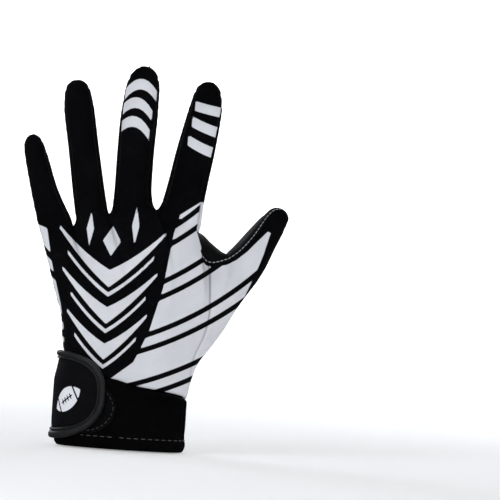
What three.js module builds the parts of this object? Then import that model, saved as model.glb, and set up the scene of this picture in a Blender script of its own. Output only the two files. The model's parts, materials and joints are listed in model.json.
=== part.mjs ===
// A full-finger sports glove for the left hand, shown as worn: fingers up (+Z), back of the hand to
// the front (-Y), thumb to the right (+X). The origin is the centre of the wrist opening.
//
// The hand's outer skin is one quad mesh. Every ring of it runs the same way round: the back, the
// right side, the palm side, the left side. The body's rings climb from the cuff seam to the webs,
// where they part into five digits. Each panel of the glove is its own patch of that skin, given a
// wall on the inside and kept a seam gap from its neighbours. All sizes are in millimetres.
import * as THREE from "three";

const FABRIC_WALL = 1.4;
const SEAM_GAP = 0.36;

// The wrist opening and the cuff.
const CUFF = {
  halfWidth: 38.4,
  thumbSideExtra: 0.9,
  halfDepth: 22.6,
  wall: 2.2,
  straightHeight: 36,
  hemHeight: 7.6,
  hemRows: [
    { height: 0, outside: -1.3 },
    { height: 2.4, outside: 0.3 },
    { height: 7, outside: 0.5 },
    { height: 7.6, outside: 0 },
  ],
  rowShares: [0.42, 0.72, 1],
  columns: 40,
};

// Height of the seam between the cuff and the hand, by the angle round the wrist from the middle of
// the back. It is high on the back and low on the palm.
const CUFF_TOP = [
  { angle: -180, height: 27.6 },
  { angle: -120, height: 30 },
  { angle: -80, height: 36 },
  { angle: -35, height: 43.0 },
  { angle: -8, height: 42.0 },
  { angle: 10, height: 39.1 },
  { angle: 30, height: 37.3 },
  { angle: 66, height: 34.5 },
  { angle: 88, height: 32.4 },
  { angle: 120, height: 29.2 },
  { angle: 180, height: 27.6 },
];

// Above the cuff, the surface that the strap follows steps in to the hand. It then keeps to the
// hand's left edge, and its depth shrinks by the taper for each millimetre.
const ABOVE_CUFF = {
  stepStart: 38,
  stepEnd: 46,
  stepIn: 0.6,
  edgeStart: 40,
  edgeLength: 91,
  taperStart: 44,
  taper: 0.1,
};

// A rounded end's last column stops just short of its point, so that its faces keep an area.
const END_SHARE = 0.999;

// The hook-and-loop strap over the back of the wrist, and the patch that it grips.
const STRAP = {
  rootAngle: -99,
  endAngle: -12.9,
  length: 60,
  middle: 31.6,
  straightPart: 0.3,
  top: { half: 25, roundness: 2.9, bindingAtRoot: 4.8 },
  bottom: { half: 27.4, roundness: 2.35, bindingAtRoot: 6.4 },
  wall: 2,
  lift: 1.45,
  liftAtTop: 0.9,
  liftFallStart: 42,
  liftFallEnd: 58,
  columns: 11,
  rows: 8,
  bindingWidth: 4.8,
  bindingTaperStart: 0.45,
  bindingTaperEnd: 0.95,
  bindingHeight: 3.4,
  bindingPower: 2.6,
  bindingSides: 8,
  bindingSteps: 34,
};
const PATCH = {
  startAngle: -60,
  endAngle: -4,
  middle: 24.6,
  halfHeight: 15.4,
  straightPart: 0.5,
  roundness: 2.2,
  wall: 0.8,
  clearance: 0.3,
  columns: 9,
  rows: 6,
};

// A digit's cross-section is a superellipse. The back and the palm panels meet a side strip at the
// seam angle, counted from the middle of the back. The strip tapers towards the tip.
const SECTION_POWER = 2.3;
const SEAM_ANGLE = 62;
const SEAM_ANGLE_AT_TIP = 82;
const SEAM_TAPER_START = 0.45;
const BACK_COLUMNS = 6;
const CAP_ANGLES = [28, 50, 70, 90];
const DIGIT_STEP = 0.5;

// One row for each cross-section of a digit, from its web to the start of its rounded tip: the left
// and right edges as seen from the back, half the thickness, the shift towards the palm, and on the
// thumb the angle of its inner seam.
const DIGITS = [
  {
    name: "pinky",
    capLength: 10.7,
    sections: [
      { leftX: -57.8, leftZ: 131.0, rightX: -37.4, rightZ: 134.8, half: 8.4, palmward: 4.0 },
      { leftX: -62.5, leftZ: 147.5, rightX: -46.9, rightZ: 152.4, half: 8.0, palmward: 4.6 },
      { leftX: -67.1, leftZ: 165.0, rightX: -53.5, rightZ: 169.5, half: 7.2, palmward: 7.0 },
      { leftX: -69.1, leftZ: 173.0, rightX: -56.3, rightZ: 177.2, half: 6.5, palmward: 8.8 },
    ],
  },
  {
    name: "ring",
    capLength: 10.5,
    sections: [
      { leftX: -34.9, leftZ: 135.2, rightX: -16.5, rightZ: 143.6, half: 9.2, palmward: 1.6 },
      { leftX: -37.9, leftZ: 151.0, rightX: -18.9, rightZ: 154.1, half: 9.0, palmward: 1.8 },
      { leftX: -42.4, leftZ: 177.0, rightX: -24.3, rightZ: 179.9, half: 8.4, palmward: 4.2 },
      { leftX: -46.6, leftZ: 199.0, rightX: -28.6, rightZ: 201.7, half: 7.8, palmward: 8.0 },
      { leftX: -47.6, leftZ: 208.5, rightX: -30.8, rightZ: 211.0, half: 7.2, palmward: 10.0 },
    ],
  },
  {
    name: "middle",
    capLength: 15.4,
    sections: [
      { leftX: -13.6, leftZ: 143.9, rightX: 10.5, rightZ: 148.6, half: 9.8, palmward: 0.5 },
      { leftX: -13.1, leftZ: 156.0, rightX: 9.2, rightZ: 157.0, half: 9.6, palmward: 0.6 },
      { leftX: -13.1, leftZ: 178.0, rightX: 9.1, rightZ: 178.0, half: 9.0, palmward: 2.2 },
      { leftX: -12.7, leftZ: 198.0, rightX: 9.7, rightZ: 198.0, half: 8.4, palmward: 5.4 },
      { leftX: -11.3, leftZ: 215.6, rightX: 9.9, rightZ: 216.2, half: 7.6, palmward: 9.0 },
    ],
  },
  {
    name: "index",
    capLength: 13.5,
    sections: [
      { leftX: 15.8, leftZ: 149.0, rightX: 40.1, rightZ: 132.8, half: 10.0, palmward: 2.0 },
      { leftX: 17.4, leftZ: 155.5, rightX: 41.0, rightZ: 148.4, half: 9.8, palmward: 1.8 },
      { leftX: 19.5, leftZ: 166.0, rightX: 42.8, rightZ: 163.0, half: 9.2, palmward: 2.6 },
      { leftX: 22.5, leftZ: 182.5, rightX: 45.3, rightZ: 180.0, half: 8.7, palmward: 4.6 },
      { leftX: 27.6, leftZ: 205.5, rightX: 47.9, rightZ: 203.5, half: 7.9, palmward: 8.6 },
      { leftX: 29.0, leftZ: 212.0, rightX: 47.9, rightZ: 210.2, half: 7.4, palmward: 10.0 },
    ],
  },
  {
    name: "thumb",
    capLength: 9,
    sections: [
      { leftX: 55.9, leftZ: 120.8, rightX: 76.0, rightZ: 105.2, half: 11.2, palmward: 9.6, seam: 46 },
      { leftX: 60.9, leftZ: 126.0, rightX: 80.9, rightZ: 114.5, half: 10.8, palmward: 11.4, seam: 36 },
      { leftX: 68.4, leftZ: 135.4, rightX: 85.4, rightZ: 125.8, half: 9.9, palmward: 13.6, seam: 31 },
      { leftX: 74.6, leftZ: 142.9, rightX: 89.2, rightZ: 134.6, half: 8.6, palmward: 15.4, seam: 40 },
      { leftX: 77.9, leftZ: 146.2, rightX: 91.0, rightZ: 139.5, half: 7.8, palmward: 16.0, seam: 50 },
    ],
  },
];

// The webs between neighbouring digits. Each row is a place on the way across, and how far the back
// seam, the saddle and the palm side hang there below the line between the two digits. The thumb's
// web is drawn taut along its saddle, while its back seam hangs well below it.
const WEBS = [
  [{ share: 0.5, seam: 4.6, saddle: 3.6, palm: 4.6 }],
  [{ share: 0.5, seam: 4.6, saddle: 3.6, palm: 4.6 }],
  [{ share: 0.5, seam: 5.6, saddle: 4.4, palm: 5.6 }],
  [
    { share: 0.13, seam: 10.6, saddle: 0.5, palm: 1.6 },
    { share: 0.38, seam: 12.7, saddle: 1.0, palm: 3.2 },
    { share: 0.72, seam: 6.6, saddle: 0.8, palm: 2.4 },
  ],
];

// One row for each cross-section of the body, by its share of the way from the cuff seam to the
// webs: the left and right edges seen from the back, and the half depth to the back and the palm.
const BODY_ROWS = 13;
const ROW_CROWDING = 1.15;
const BODY = [
  { share: 0.0, left: -37.4, right: 38.8, back: 22.0, palm: 22.0 },
  { share: 0.18, left: -36.4, right: 41.3, back: 20.8, palm: 20.8 },
  { share: 0.32, left: -38.8, right: 44.8, back: 19.2, palm: 19.6 },
  { share: 0.45, left: -40.2, right: 51.4, back: 17.6, palm: 18.8 },
  { share: 0.6, left: -45.0, right: 58.4, back: 15.8, palm: 17.4 },
  { share: 0.8, left: -51.2, right: 66.2, back: 13.6, palm: 15.0 },
  { share: 1.0, left: -57.8, right: 76.0, back: 11.4, palm: 12.4 },
];
const BODY_POWER = { atCuff: 2, atWebs: 2.7 };

// Where the body's sections start to bend towards the digits' base rings.
const BLEND = { start: 0.64, power: 1.7 };

// The thumb's side moves towards the palm: how far at the webs, and over which share of the width.
const THUMB_SHIFT = { depth: 9, power: 1.2, from: 0.3, to: 0.95 };

// The folds and the fleshy forms reach their full height at this share of the way up.
const FORM_RISE_END = 0.3;

// Angles round the wrist, from the middle of the back, where the skin's columns meet the cuff. The
// seam between the back and the thumb panel reaches the cuff on the wrist's right edge.
const WRIST_ANGLES = {
  left: -SEAM_ANGLE,
  thumbSeam: 90,
  thumbEnd: 112,
  palmStart: 120,
  palmFingers: 138,
  palmEnd: 242,
};

// Fleshy forms of the palm: centre as seen from the back, radius, and height.
const PALM_FORMS = [
  { x: 40, z: 74, radius: 25, height: 6 },
  { x: -28, z: 72, radius: 22, height: 3.2 },
  { x: 2, z: 98, radius: 22, height: -3 },
];

// The folds in which the fabric gathers near the wrist: the side that they are on, the middle of
// each crest as seen from the back, its half length and half width, its tilt, and its height.
const FOLDS = [
  { side: "back", x: 6, z: 52, halfLength: 24, halfWidth: 4.2, tilt: -4, height: 1.3 },
  { side: "back", x: -8, z: 65, halfLength: 19, halfWidth: 4.6, tilt: 14, height: 1.1 },
  { side: "palm", x: 10, z: 45, halfLength: 26, halfWidth: 4.4, tilt: 3, height: 1.7 },
  { side: "palm", x: -8, z: 58, halfLength: 24, halfWidth: 4.6, tilt: -7, height: 1.5 },
  { side: "palm", x: 30, z: 62, halfLength: 17, halfWidth: 4.8, tilt: 14, height: 1.5 },
];

const COLOURS = {
  stretch_fabric: { color: 0x0b0c11, roughness: 0.85, metalness: 0 },
  coated_palm: { color: 0x060607, roughness: 0.22, metalness: 0 },
  thumb_fabric: { color: 0xcfd2dc, roughness: 0.8, metalness: 0 },
  cuff_neoprene: { color: 0x07070a, roughness: 0.9, metalness: 0 },
  strap_fabric: { color: 0x0a0b0f, roughness: 0.85, metalness: 0 },
  strap_rubber: { color: 0x17171a, roughness: 0.5, metalness: 0 },
  loop_pile: { color: 0x0a0a0c, roughness: 1, metalness: 0 },
};

const radians = THREE.MathUtils.degToRad;
const lerp = THREE.MathUtils.lerp;
const smoothstep = THREE.MathUtils.smoothstep;

// A signed power of a sine or cosine, which turns a circle into a superellipse.
const superPower = (value, power) => Math.sign(value) * Math.abs(value) ** (2 / power);

// Value of one named column at a place in a table, on a smooth curve through the rows.
function readTable(rows, key, place, by) {
  let i = 0;
  while (i < rows.length - 2 && place > by(rows[i + 1], i + 1)) i += 1;
  const value = (k) => rows[THREE.MathUtils.clamp(k, 0, rows.length - 1)][key];
  const at = (k) => by(rows[k], k);
  const slope = (k) => {
    const low = Math.max(k - 1, 0);
    const high = Math.min(k + 1, rows.length - 1);
    return (value(high) - value(low)) / (at(high) - at(low));
  };
  const span = at(i + 1) - at(i);
  const t = (place - at(i)) / span;
  const t2 = t * t;
  const t3 = t2 * t;
  return (
    (2 * t3 - 3 * t2 + 1) * value(i) +
    (t3 - 2 * t2 + t) * span * slope(i) +
    (3 * t2 - 2 * t3) * value(i + 1) +
    (t3 - t2) * span * slope(i + 1)
  );
}

const byRow = (row, index) => index;
const byShare = (row) => row.share;
const byAngle = (row) => row.angle;

// Height of the seam between the cuff and the hand, at an angle round the wrist.
function cuffSeamHeight(angle) {
  return readTable(CUFF_TOP, "height", angle > 180 ? angle - 360 : angle, byAngle);
}

// A digit's cross-section at a place counted in table rows, as centre, half across and half depth.
function digitSection(digit, place) {
  const read = (key) => readTable(digit.sections, key, place, byRow);
  const left = new THREE.Vector3(read("leftX"), read("palmward"), read("leftZ"));
  const right = new THREE.Vector3(read("rightX"), read("palmward"), read("rightZ"));
  const taper = smoothstep(place / (digit.sections.length - 1), SEAM_TAPER_START, 1);
  const seam = lerp(SEAM_ANGLE, SEAM_ANGLE_AT_TIP, taper);
  return {
    centre: left.clone().add(right).multiplyScalar(0.5),
    across: right.sub(left).multiplyScalar(0.5),
    half: read("half"),
    outerSeam: seam,
    innerSeam: digit.sections[0].seam ? read("seam") : seam,
    palmSeam: seam,
  };
}

// The angles round a digit: the back, the right side, the palm side, the left side.
function ringAngles({ innerSeam, outerSeam, palmSeam }) {
  const angles = [];
  for (let i = 0; i <= BACK_COLUMNS; i += 1) {
    angles.push(lerp(-innerSeam, outerSeam, i / BACK_COLUMNS));
  }
  angles.push(90);
  for (let i = 0; i <= BACK_COLUMNS; i += 1) {
    angles.push(lerp(180 - palmSeam, 180 + palmSeam, i / BACK_COLUMNS));
  }
  angles.push(270);
  return angles;
}

function digitRing(section, shrink, push) {
  return ringAngles(section).map((angle) => {
    const side = superPower(Math.sin(radians(angle)), SECTION_POWER) * shrink;
    const depth = -superPower(Math.cos(radians(angle)), SECTION_POWER) * shrink * section.half;
    const point = section.centre.clone().addScaledVector(section.across, side);
    point.y += depth;
    return push ? point.add(push) : point;
  });
}

// Every ring of a digit from the web up, the last one a single point at the tip.
function digitRings(digit) {
  const last = digit.sections.length - 1;
  const rings = [];
  for (let place = 0; place <= last; place += DIGIT_STEP) {
    rings.push(digitRing(digitSection(digit, place), 1));
  }
  const end = digitSection(digit, last);
  const before = digitSection(digit, last - DIGIT_STEP);
  const axis = end.centre.clone().sub(before.centre).normalize();
  for (const angle of CAP_ANGLES) {
    const push = axis.clone().multiplyScalar(digit.capLength * Math.sin(radians(angle)));
    rings.push(digitRing(end, Math.cos(radians(angle)), push));
  }
  const tip = end.centre.clone().addScaledVector(axis, digit.capLength);
  rings[rings.length - 1] = rings[rings.length - 1].map(() => tip.clone());
  return rings;
}

// One line of a web between two digits, with its ends left out.
function webLine(from, to, web, line) {
  return web.map((row) => {
    const point = from.clone().lerp(to, row.share);
    point.z -= row[line];
    return point;
  });
}

const RIGHT_MID = BACK_COLUMNS + 1;
const PALM_FIRST = BACK_COLUMNS + 2;
const PALM_LAST = PALM_FIRST + BACK_COLUMNS;
const LEFT_MID = PALM_LAST + 1;
const RING_SIZE = LEFT_MID + 1;

// The vertex pool: equal points share one index, so that neighbouring patches are welded.
const skin = { points: [], faces: [], index: new Map() };

function vertex(point) {
  const key = [point.x, point.y, point.z].map((v) => Math.round(v * 1000)).join();
  if (!skin.index.has(key)) {
    skin.index.set(key, skin.points.length);
    skin.points.push(point.clone());
  }
  return skin.index.get(key);
}

function face(panel, corners) {
  const indices = corners.map(vertex).filter((v, i, all) => all.indexOf(v) === i);
  if (indices.length > 2) skin.faces.push({ panel, indices });
}

const PANEL_OF_WEB = [
  "fourchette_pinky_ring",
  "fourchette_ring_middle",
  "fourchette_middle_index",
  "palm_panel",
];
const LEFT_STRIP = [null, ...PANEL_OF_WEB];
const RIGHT_STRIP = [...PANEL_OF_WEB.slice(0, 3), "index_side", "thumb_panel"];

// The panel that a digit's quad belongs to. Side strips end where the tip begins, and from there
// the back and palm panels meet on the middle of the side.
function digitPanel(d, row, slot, stripEnd) {
  const isThumb = DIGITS[d].name === "thumb";
  const back = isThumb ? "thumb_panel" : "back_panel";
  if (slot < BACK_COLUMNS) return back;
  const onRight = slot < PALM_FIRST;
  const onLeft = slot >= PALM_LAST;
  if (!onRight && !onLeft) return "palm_panel";
  const strip = onRight ? RIGHT_STRIP[d] : LEFT_STRIP[d];
  if (strip && (isThumb || row < stripEnd)) return strip;
  return slot === BACK_COLUMNS || slot === LEFT_MID ? back : "palm_panel";
}

const rings = DIGITS.map(digitRings);
DIGITS.forEach((digit, d) => {
  const stripEnd = rings[d].length - CAP_ANGLES.length;
  for (let row = 0; row < rings[d].length - 1; row += 1) {
    for (let slot = 0; slot < RING_SIZE; slot += 1) {
      const next = (slot + 1) % RING_SIZE;
      const [low, high] = [rings[d][row], rings[d][row + 1]];
      face(digitPanel(d, row, slot, stripEnd), [low[slot], low[next], high[next], high[slot]]);
    }
  }
});

// The top edge of the body, on the back and on the palm: the base rings of the digits with the webs
// between them.
const backTop = [];
const palmTop = [];
DIGITS.forEach((digit, d) => {
  const base = rings[d][0];
  for (let i = 0; i <= BACK_COLUMNS; i += 1) {
    backTop.push(base[i]);
    palmTop.push(base[PALM_LAST - i]);
  }
  if (d === DIGITS.length - 1) return;
  const web = WEBS[d];
  const next = rings[d + 1][0];
  const seam = webLine(base[BACK_COLUMNS], next[0], web, "seam");
  const under = webLine(base[PALM_FIRST], next[PALM_LAST], web, "palm");
  const saddle = webLine(base[RIGHT_MID], next[LEFT_MID], web, "saddle");
  backTop.push(...seam);
  palmTop.push(...under);
  const front = [base[BACK_COLUMNS], ...seam, next[0]];
  const middle = [base[RIGHT_MID], ...saddle, next[LEFT_MID]];
  const rear = [base[PALM_FIRST], ...under, next[PALM_LAST]];
  for (let i = 0; i <= web.length; i += 1) {
    face(PANEL_OF_WEB[d], [front[i], front[i + 1], middle[i + 1], middle[i]]);
    face(PANEL_OF_WEB[d], [middle[i], middle[i + 1], rear[i + 1], rear[i]]);
  }
});

// The seam between the back and the thumb panel starts at the middle of the last web.
const THUMB = DIGITS.length - 1;
const LAST_COLUMN = backTop.length - 1;
const SEAM_COLUMN = LAST_COLUMN - BACK_COLUMNS - (WEBS[THUMB - 1].length + 1) / 2;

// Angle at the cuff of a column of the back, and of a column of the palm.
function backWristAngle(i) {
  const a = WRIST_ANGLES;
  if (i <= SEAM_COLUMN) return lerp(a.left, a.thumbSeam, i / SEAM_COLUMN);
  return lerp(a.thumbSeam, a.thumbEnd, (i - SEAM_COLUMN) / (LAST_COLUMN - SEAM_COLUMN));
}

function palmWristAngle(i) {
  const a = WRIST_ANGLES;
  if (i <= SEAM_COLUMN) return lerp(a.palmEnd, a.palmFingers, i / SEAM_COLUMN);
  return lerp(a.palmFingers, a.palmStart, (i - SEAM_COLUMN) / (LAST_COLUMN - SEAM_COLUMN));
}

// Section angle at which the body's outline reaches a point of its top edge.
function angleAtTop(x, onPalm) {
  const { left, right } = BODY[BODY.length - 1];
  const side = THREE.MathUtils.clamp((2 * x - left - right) / (right - left), -1, 1);
  const sine = Math.sign(side) * Math.abs(side) ** (BODY_POWER.atWebs / 2);
  const angle = THREE.MathUtils.radToDeg(Math.asin(sine));
  return onPalm ? 180 - angle : angle;
}

function palmForm(x, z) {
  return PALM_FORMS.reduce((sum, form) => {
    const distance = Math.hypot(x - form.x, z - form.z) / form.radius;
    return sum + form.height * Math.exp(-distance * distance);
  }, 0);
}

function foldHeight(side, x, z) {
  return FOLDS.filter((fold) => fold.side === side).reduce((sum, fold) => {
    const tilt = radians(fold.tilt);
    const along = (x - fold.x) * Math.cos(tilt) + (z - fold.z) * Math.sin(tilt);
    const across = (z - fold.z) * Math.cos(tilt) - (x - fold.x) * Math.sin(tilt);
    const reach = Math.exp(-((along / fold.halfLength) ** 4));
    return sum + fold.height * reach * Math.exp(-((across / fold.halfWidth) ** 2));
  }, 0);
}

// A point of the body's cross-section: share of the way up, angle round it, and height.
function sectionPoint(share, degrees, z) {
  const angle = radians(degrees);
  const read = (key) => readTable(BODY, key, share, byShare);
  const power = lerp(BODY_POWER.atCuff, BODY_POWER.atWebs, share);
  const side = superPower(Math.sin(angle), power);
  const depth = superPower(Math.cos(angle), power);
  const x = (read("left") + read("right")) / 2 + (side * (read("right") - read("left"))) / 2;
  const { depth: shift, power: shiftPower, from, to } = THUMB_SHIFT;
  const middle = shift * share ** shiftPower * smoothstep(side, from, to);
  const rise = smoothstep(share, 0, FORM_RISE_END);
  if (depth > 0) {
    const fold = foldHeight("back", x, z) * depth * rise;
    return new THREE.Vector3(x, middle - read("back") * depth - fold, z);
  }
  const form = (palmForm(x, z) + foldHeight("palm", x, z)) * rise;
  return new THREE.Vector3(x, middle - (read("palm") + form) * depth, z);
}

// A point of the body's skin on one column, which runs from its wrist angle to its top point.
function bodyPoint(share, { wrist, top, topAngle }) {
  const z = lerp(cuffSeamHeight(wrist), top.z, share);
  const point = sectionPoint(share, lerp(wrist, topAngle, share), z);
  const miss = top.clone().sub(sectionPoint(1, topAngle, top.z));
  return point.addScaledVector(miss, smoothstep(share, BLEND.start, 1) ** BLEND.power);
}

// The body's columns in ring order, each with the panel of the quads that follow it.
const columns = [];
backTop.forEach((top, i) => {
  const panel = i < SEAM_COLUMN ? "back_panel" : "thumb_panel";
  columns.push({ top, wrist: backWristAngle(i), topAngle: angleAtTop(top.x, false), panel });
});
const rightWrist = (WRIST_ANGLES.thumbEnd + WRIST_ANGLES.palmStart) / 2;
columns.push({ top: rings[THUMB][0][RIGHT_MID], wrist: rightWrist, topAngle: 90, panel: "thumb_panel" });
for (let i = LAST_COLUMN; i >= 0; i -= 1) {
  const top = palmTop[i];
  columns.push({ top, wrist: palmWristAngle(i), topAngle: angleAtTop(top.x, true), panel: "palm_panel" });
}
columns.push({ top: rings[0][0][LEFT_MID], wrist: 270, topAngle: 270, panel: "back_panel" });

for (let row = 0; row < BODY_ROWS; row += 1) {
  const low = (row / BODY_ROWS) ** ROW_CROWDING;
  const high = ((row + 1) / BODY_ROWS) ** ROW_CROWDING;
  columns.forEach((here, i) => {
    const next = columns[(i + 1) % columns.length];
    const corners = [bodyPoint(low, here), bodyPoint(low, next), bodyPoint(high, next), bodyPoint(high, here)];
    face(here.panel, corners);
  });
}

// Normals of the whole welded skin, so that both sides of a seam get the same one.
function skinNormals() {
  const normals = skin.points.map(() => new THREE.Vector3());
  for (const { indices } of skin.faces) {
    const corners = indices.map((i) => skin.points[i]);
    const diagonal = corners[2].clone().sub(corners[0]);
    const other = (corners[3] ?? corners[0]).clone().sub(corners[1]);
    const normal = diagonal.cross(other);
    indices.forEach((i) => normals[i].add(normal));
  }
  return normals.map((n) => n.normalize());
}

// Closes a patch of quads into a wall: the outer sheet, an inner one, and a rim between them. Both
// panels of a seam cut each rim quad on the same diagonal, so that their rims stay parallel.
function wallFrom(points, normals, faces, wall, gap) {
  const used = [...new Set(faces.flat())];
  const slot = new Map(used.map((v, i) => [v, i]));
  const edges = new Map();
  for (const corners of faces) {
    corners.forEach((a, i) => {
      const b = corners[(i + 1) % corners.length];
      const twin = `${b},${a}`;
      if (edges.has(twin)) edges.delete(twin);
      else edges.set(`${a},${b}`, [a, b]);
    });
  }
  const inward = new Map();
  for (const [a, b] of edges.values()) {
    const along = points[b].clone().sub(points[a]).normalize();
    for (const v of [a, b]) {
      const pull = normals[v].clone().cross(along).normalize();
      if (!inward.has(v)) inward.set(v, new THREE.Vector3());
      inward.get(v).add(pull);
    }
  }
  const outer = used.map((v) => {
    const point = points[v].clone();
    return inward.has(v) ? point.addScaledVector(inward.get(v).clone().normalize(), gap / 2) : point;
  });
  const inner = used.map((v, i) => outer[i].clone().addScaledVector(normals[v], -wall));
  const count = used.length;
  const triangles = [];
  for (const corners of faces) {
    const outside = corners.map((v) => slot.get(v));
    for (let i = 1; i < outside.length - 1; i += 1) {
      triangles.push(outside[0], outside[i], outside[i + 1]);
      triangles.push(outside[0] + count, outside[i + 1] + count, outside[i] + count);
    }
  }
  for (const [a, b] of edges.values()) {
    const [from, to] = [slot.get(a), slot.get(b)];
    if (a < b) triangles.push(to, from, from + count, to, from + count, to + count);
    else triangles.push(from, from + count, to + count, from, to + count, to);
  }
  return bodyOf([...outer, ...inner], triangles);
}

function bodyOf(points, triangles) {
  const geometry = new THREE.BufferGeometry().setFromPoints(points);
  geometry.setIndex(triangles);
  geometry.computeVertexNormals();
  return geometry;
}

// A grid of points, [row][column], closed into a wall of a given thickness on its inner side.
function sheet(grid, wall, closed = false) {
  const points = grid.flat();
  const across = grid[0].length;
  const faces = [];
  for (let row = 0; row < grid.length - 1; row += 1) {
    for (let i = 0; i < (closed ? across : across - 1); i += 1) {
      const next = (i + 1) % across;
      faces.push([row * across + i, row * across + next, (row + 1) * across + next, (row + 1) * across + i]);
    }
  }
  const normals = points.map(() => new THREE.Vector3());
  for (const corners of faces) {
    const [a, b, c, d] = corners.map((i) => points[i]);
    const normal = c.clone().sub(a).cross(d.clone().sub(b));
    corners.forEach((i) => normals[i].add(normal));
  }
  return wallFrom(points, normals.map((n) => n.normalize()), faces, wall, 0);
}

// A point round the wrist, outside the cuff by a given amount.
function wristPoint(angle, height, outside) {
  const { stepStart, stepEnd, stepIn, edgeStart, edgeLength, taperStart, taper } = ABOVE_CUFF;
  const share = Math.max(0, (height - edgeStart) / edgeLength);
  const waist = Math.max(0, readTable(BODY, "left", share, byShare) - BODY[0].left);
  const leftness = Math.max(0, -Math.sin(radians(angle)));
  const rightness = Math.max(0, Math.sin(radians(angle)));
  const upper = smoothstep(height, stepStart, stepEnd);
  const halfWidth =
    CUFF.halfWidth + CUFF.thumbSideExtra * rightness - upper * (stepIn + waist * leftness);
  const halfDepth = CUFF.halfDepth - upper * (stepIn + Math.max(0, (height - taperStart) * taper));
  return new THREE.Vector3(
    (halfWidth + outside) * Math.sin(radians(angle)),
    -(halfDepth + outside) * Math.cos(radians(angle)),
    height,
  );
}

// One ring of the cuff: its height at each angle, and how far it stands out.
function cuffRing(heightAt, outside) {
  const line = [];
  for (let i = 0; i < CUFF.columns; i += 1) {
    const angle = (360 * i) / CUFF.columns;
    const height = heightAt(angle);
    line.push(wristPoint(angle, Math.min(height, CUFF.straightHeight), outside).setZ(height));
  }
  return line;
}

function cuff() {
  const hem = CUFF.hemRows.map((row) => cuffRing(() => row.height, row.outside));
  const upper = CUFF.rowShares.map((share) =>
    cuffRing((angle) => lerp(CUFF.hemHeight, cuffSeamHeight(angle) - SEAM_GAP, share), 0),
  );
  return sheet([...hem, ...upper], CUFF.wall, true);
}

// Height of a line along the strap, whose end is round: side runs from 1 on its top edge to -1 on
// its bottom edge, and the margin is how far that edge is taken in.
function strapHeight(share, side, margin) {
  const { half, roundness } = side > 0 ? STRAP.top : STRAP.bottom;
  const along = Math.max(0, (share - STRAP.straightPart) / (1 - STRAP.straightPart));
  const reach = Math.max(0, 1 - along ** roundness) ** (1 / roundness);
  return STRAP.middle + side * reach * (half - margin);
}

// Width of the moulded edge, which broadens towards the root on the bottom side.
function bindingWidth(share, side) {
  const { bindingAtRoot } = side > 0 ? STRAP.top : STRAP.bottom;
  const taper = smoothstep(share, STRAP.bindingTaperStart, STRAP.bindingTaperEnd);
  return lerp(bindingAtRoot, STRAP.bindingWidth, taper);
}

function strapPoint(share, height, outside) {
  const angle = lerp(STRAP.rootAngle, STRAP.endAngle, share);
  const fall = smoothstep(height, STRAP.liftFallStart, STRAP.liftFallEnd);
  return wristPoint(angle, height, lerp(STRAP.lift, STRAP.liftAtTop, fall) + outside);
}

function strap() {
  const reach = 1 - (STRAP.bindingWidth + SEAM_GAP) / STRAP.length;
  const grid = [];
  for (let row = 0; row <= STRAP.rows; row += 1) {
    const line = [];
    for (let i = 0; i <= STRAP.columns; i += 1) {
      const share = Math.sin((Math.PI / 2) * (i / STRAP.columns)) * END_SHARE;
      const side = (2 * row) / STRAP.rows - 1;
      const height = strapHeight(share, side, bindingWidth(share, side) + SEAM_GAP);
      line.push(strapPoint(share * reach, height, STRAP.wall));
    }
    grid.push(line);
  }
  return sheet(grid, STRAP.wall);
}

// The moulded edge that runs round the strap from its root, over the round end and back.
function strapBinding() {
  const reach = 1 - STRAP.bindingWidth / 2 / STRAP.length;
  const path = [];
  for (let i = 0; i <= STRAP.bindingSteps; i += 1) {
    const turn = lerp(-1, 1, i / STRAP.bindingSteps);
    const share = Math.cos((Math.PI / 2) * turn);
    const centre = bindingWidth(share, -turn) / 2;
    path.push({ share: share * reach, centre, height: strapHeight(share, -Math.sign(turn), centre) });
  }
  const rise = STRAP.bindingHeight / 2;
  const rings = path.map(({ share, height, centre }, i) => {
    const at = (k) => {
      const node = path[THREE.MathUtils.clamp(k, 0, path.length - 1)];
      return strapPoint(node.share, node.height, rise);
    };
    const here = at(i);
    const outward = strapPoint(share, height, rise + 1).sub(here).normalize();
    const along = at(i + 1).sub(at(i - 1)).normalize();
    const sideways = outward.clone().cross(along).normalize();
    const ring = [];
    for (let side = 0; side < STRAP.bindingSides; side += 1) {
      const angle = radians((360 * side) / STRAP.bindingSides);
      const aside = centre * superPower(Math.cos(angle), STRAP.bindingPower);
      const above = rise * superPower(Math.sin(angle), STRAP.bindingPower);
      ring.push(here.clone().addScaledVector(sideways, aside).addScaledVector(outward, above));
    }
    return ring;
  });
  return capped(rings);
}

// A tube of equal rings with a flat cap on each end.
function capped(rings) {
  const size = rings[0].length;
  const triangles = [];
  for (let row = 0; row < rings.length - 1; row += 1) {
    for (let i = 0; i < size; i += 1) {
      const next = (i + 1) % size;
      const [a, b, c, d] = [row * size + i, row * size + next, (row + 1) * size + next, (row + 1) * size + i];
      triangles.push(a, b, c, a, c, d);
    }
  }
  const last = (rings.length - 1) * size;
  for (let i = 1; i < size - 1; i += 1) {
    triangles.push(0, i + 1, i, last, last + i, last + i + 1);
  }
  return bodyOf(rings.flat(), triangles);
}

// The soft patch of loops on the cuff, with a rounded end like the strap's.
function loopPatch() {
  const { straightPart, roundness } = PATCH;
  const grid = [];
  for (let row = 0; row <= PATCH.rows; row += 1) {
    const line = [];
    for (let i = 0; i <= PATCH.columns; i += 1) {
      const share = Math.sin((Math.PI / 2) * (i / PATCH.columns)) * END_SHARE;
      const angle = lerp(PATCH.startAngle, PATCH.endAngle, share);
      const along = Math.max(0, (share - straightPart) / (1 - straightPart));
      const half = PATCH.halfHeight * Math.sqrt(Math.max(0, 1 - along ** roundness));
      const height = PATCH.middle + ((2 * row) / PATCH.rows - 1) * half;
      line.push(wristPoint(angle, height, PATCH.clearance + PATCH.wall));
    }
    grid.push(line);
  }
  return sheet(grid, PATCH.wall);
}

const glove = new THREE.Group();

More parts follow.
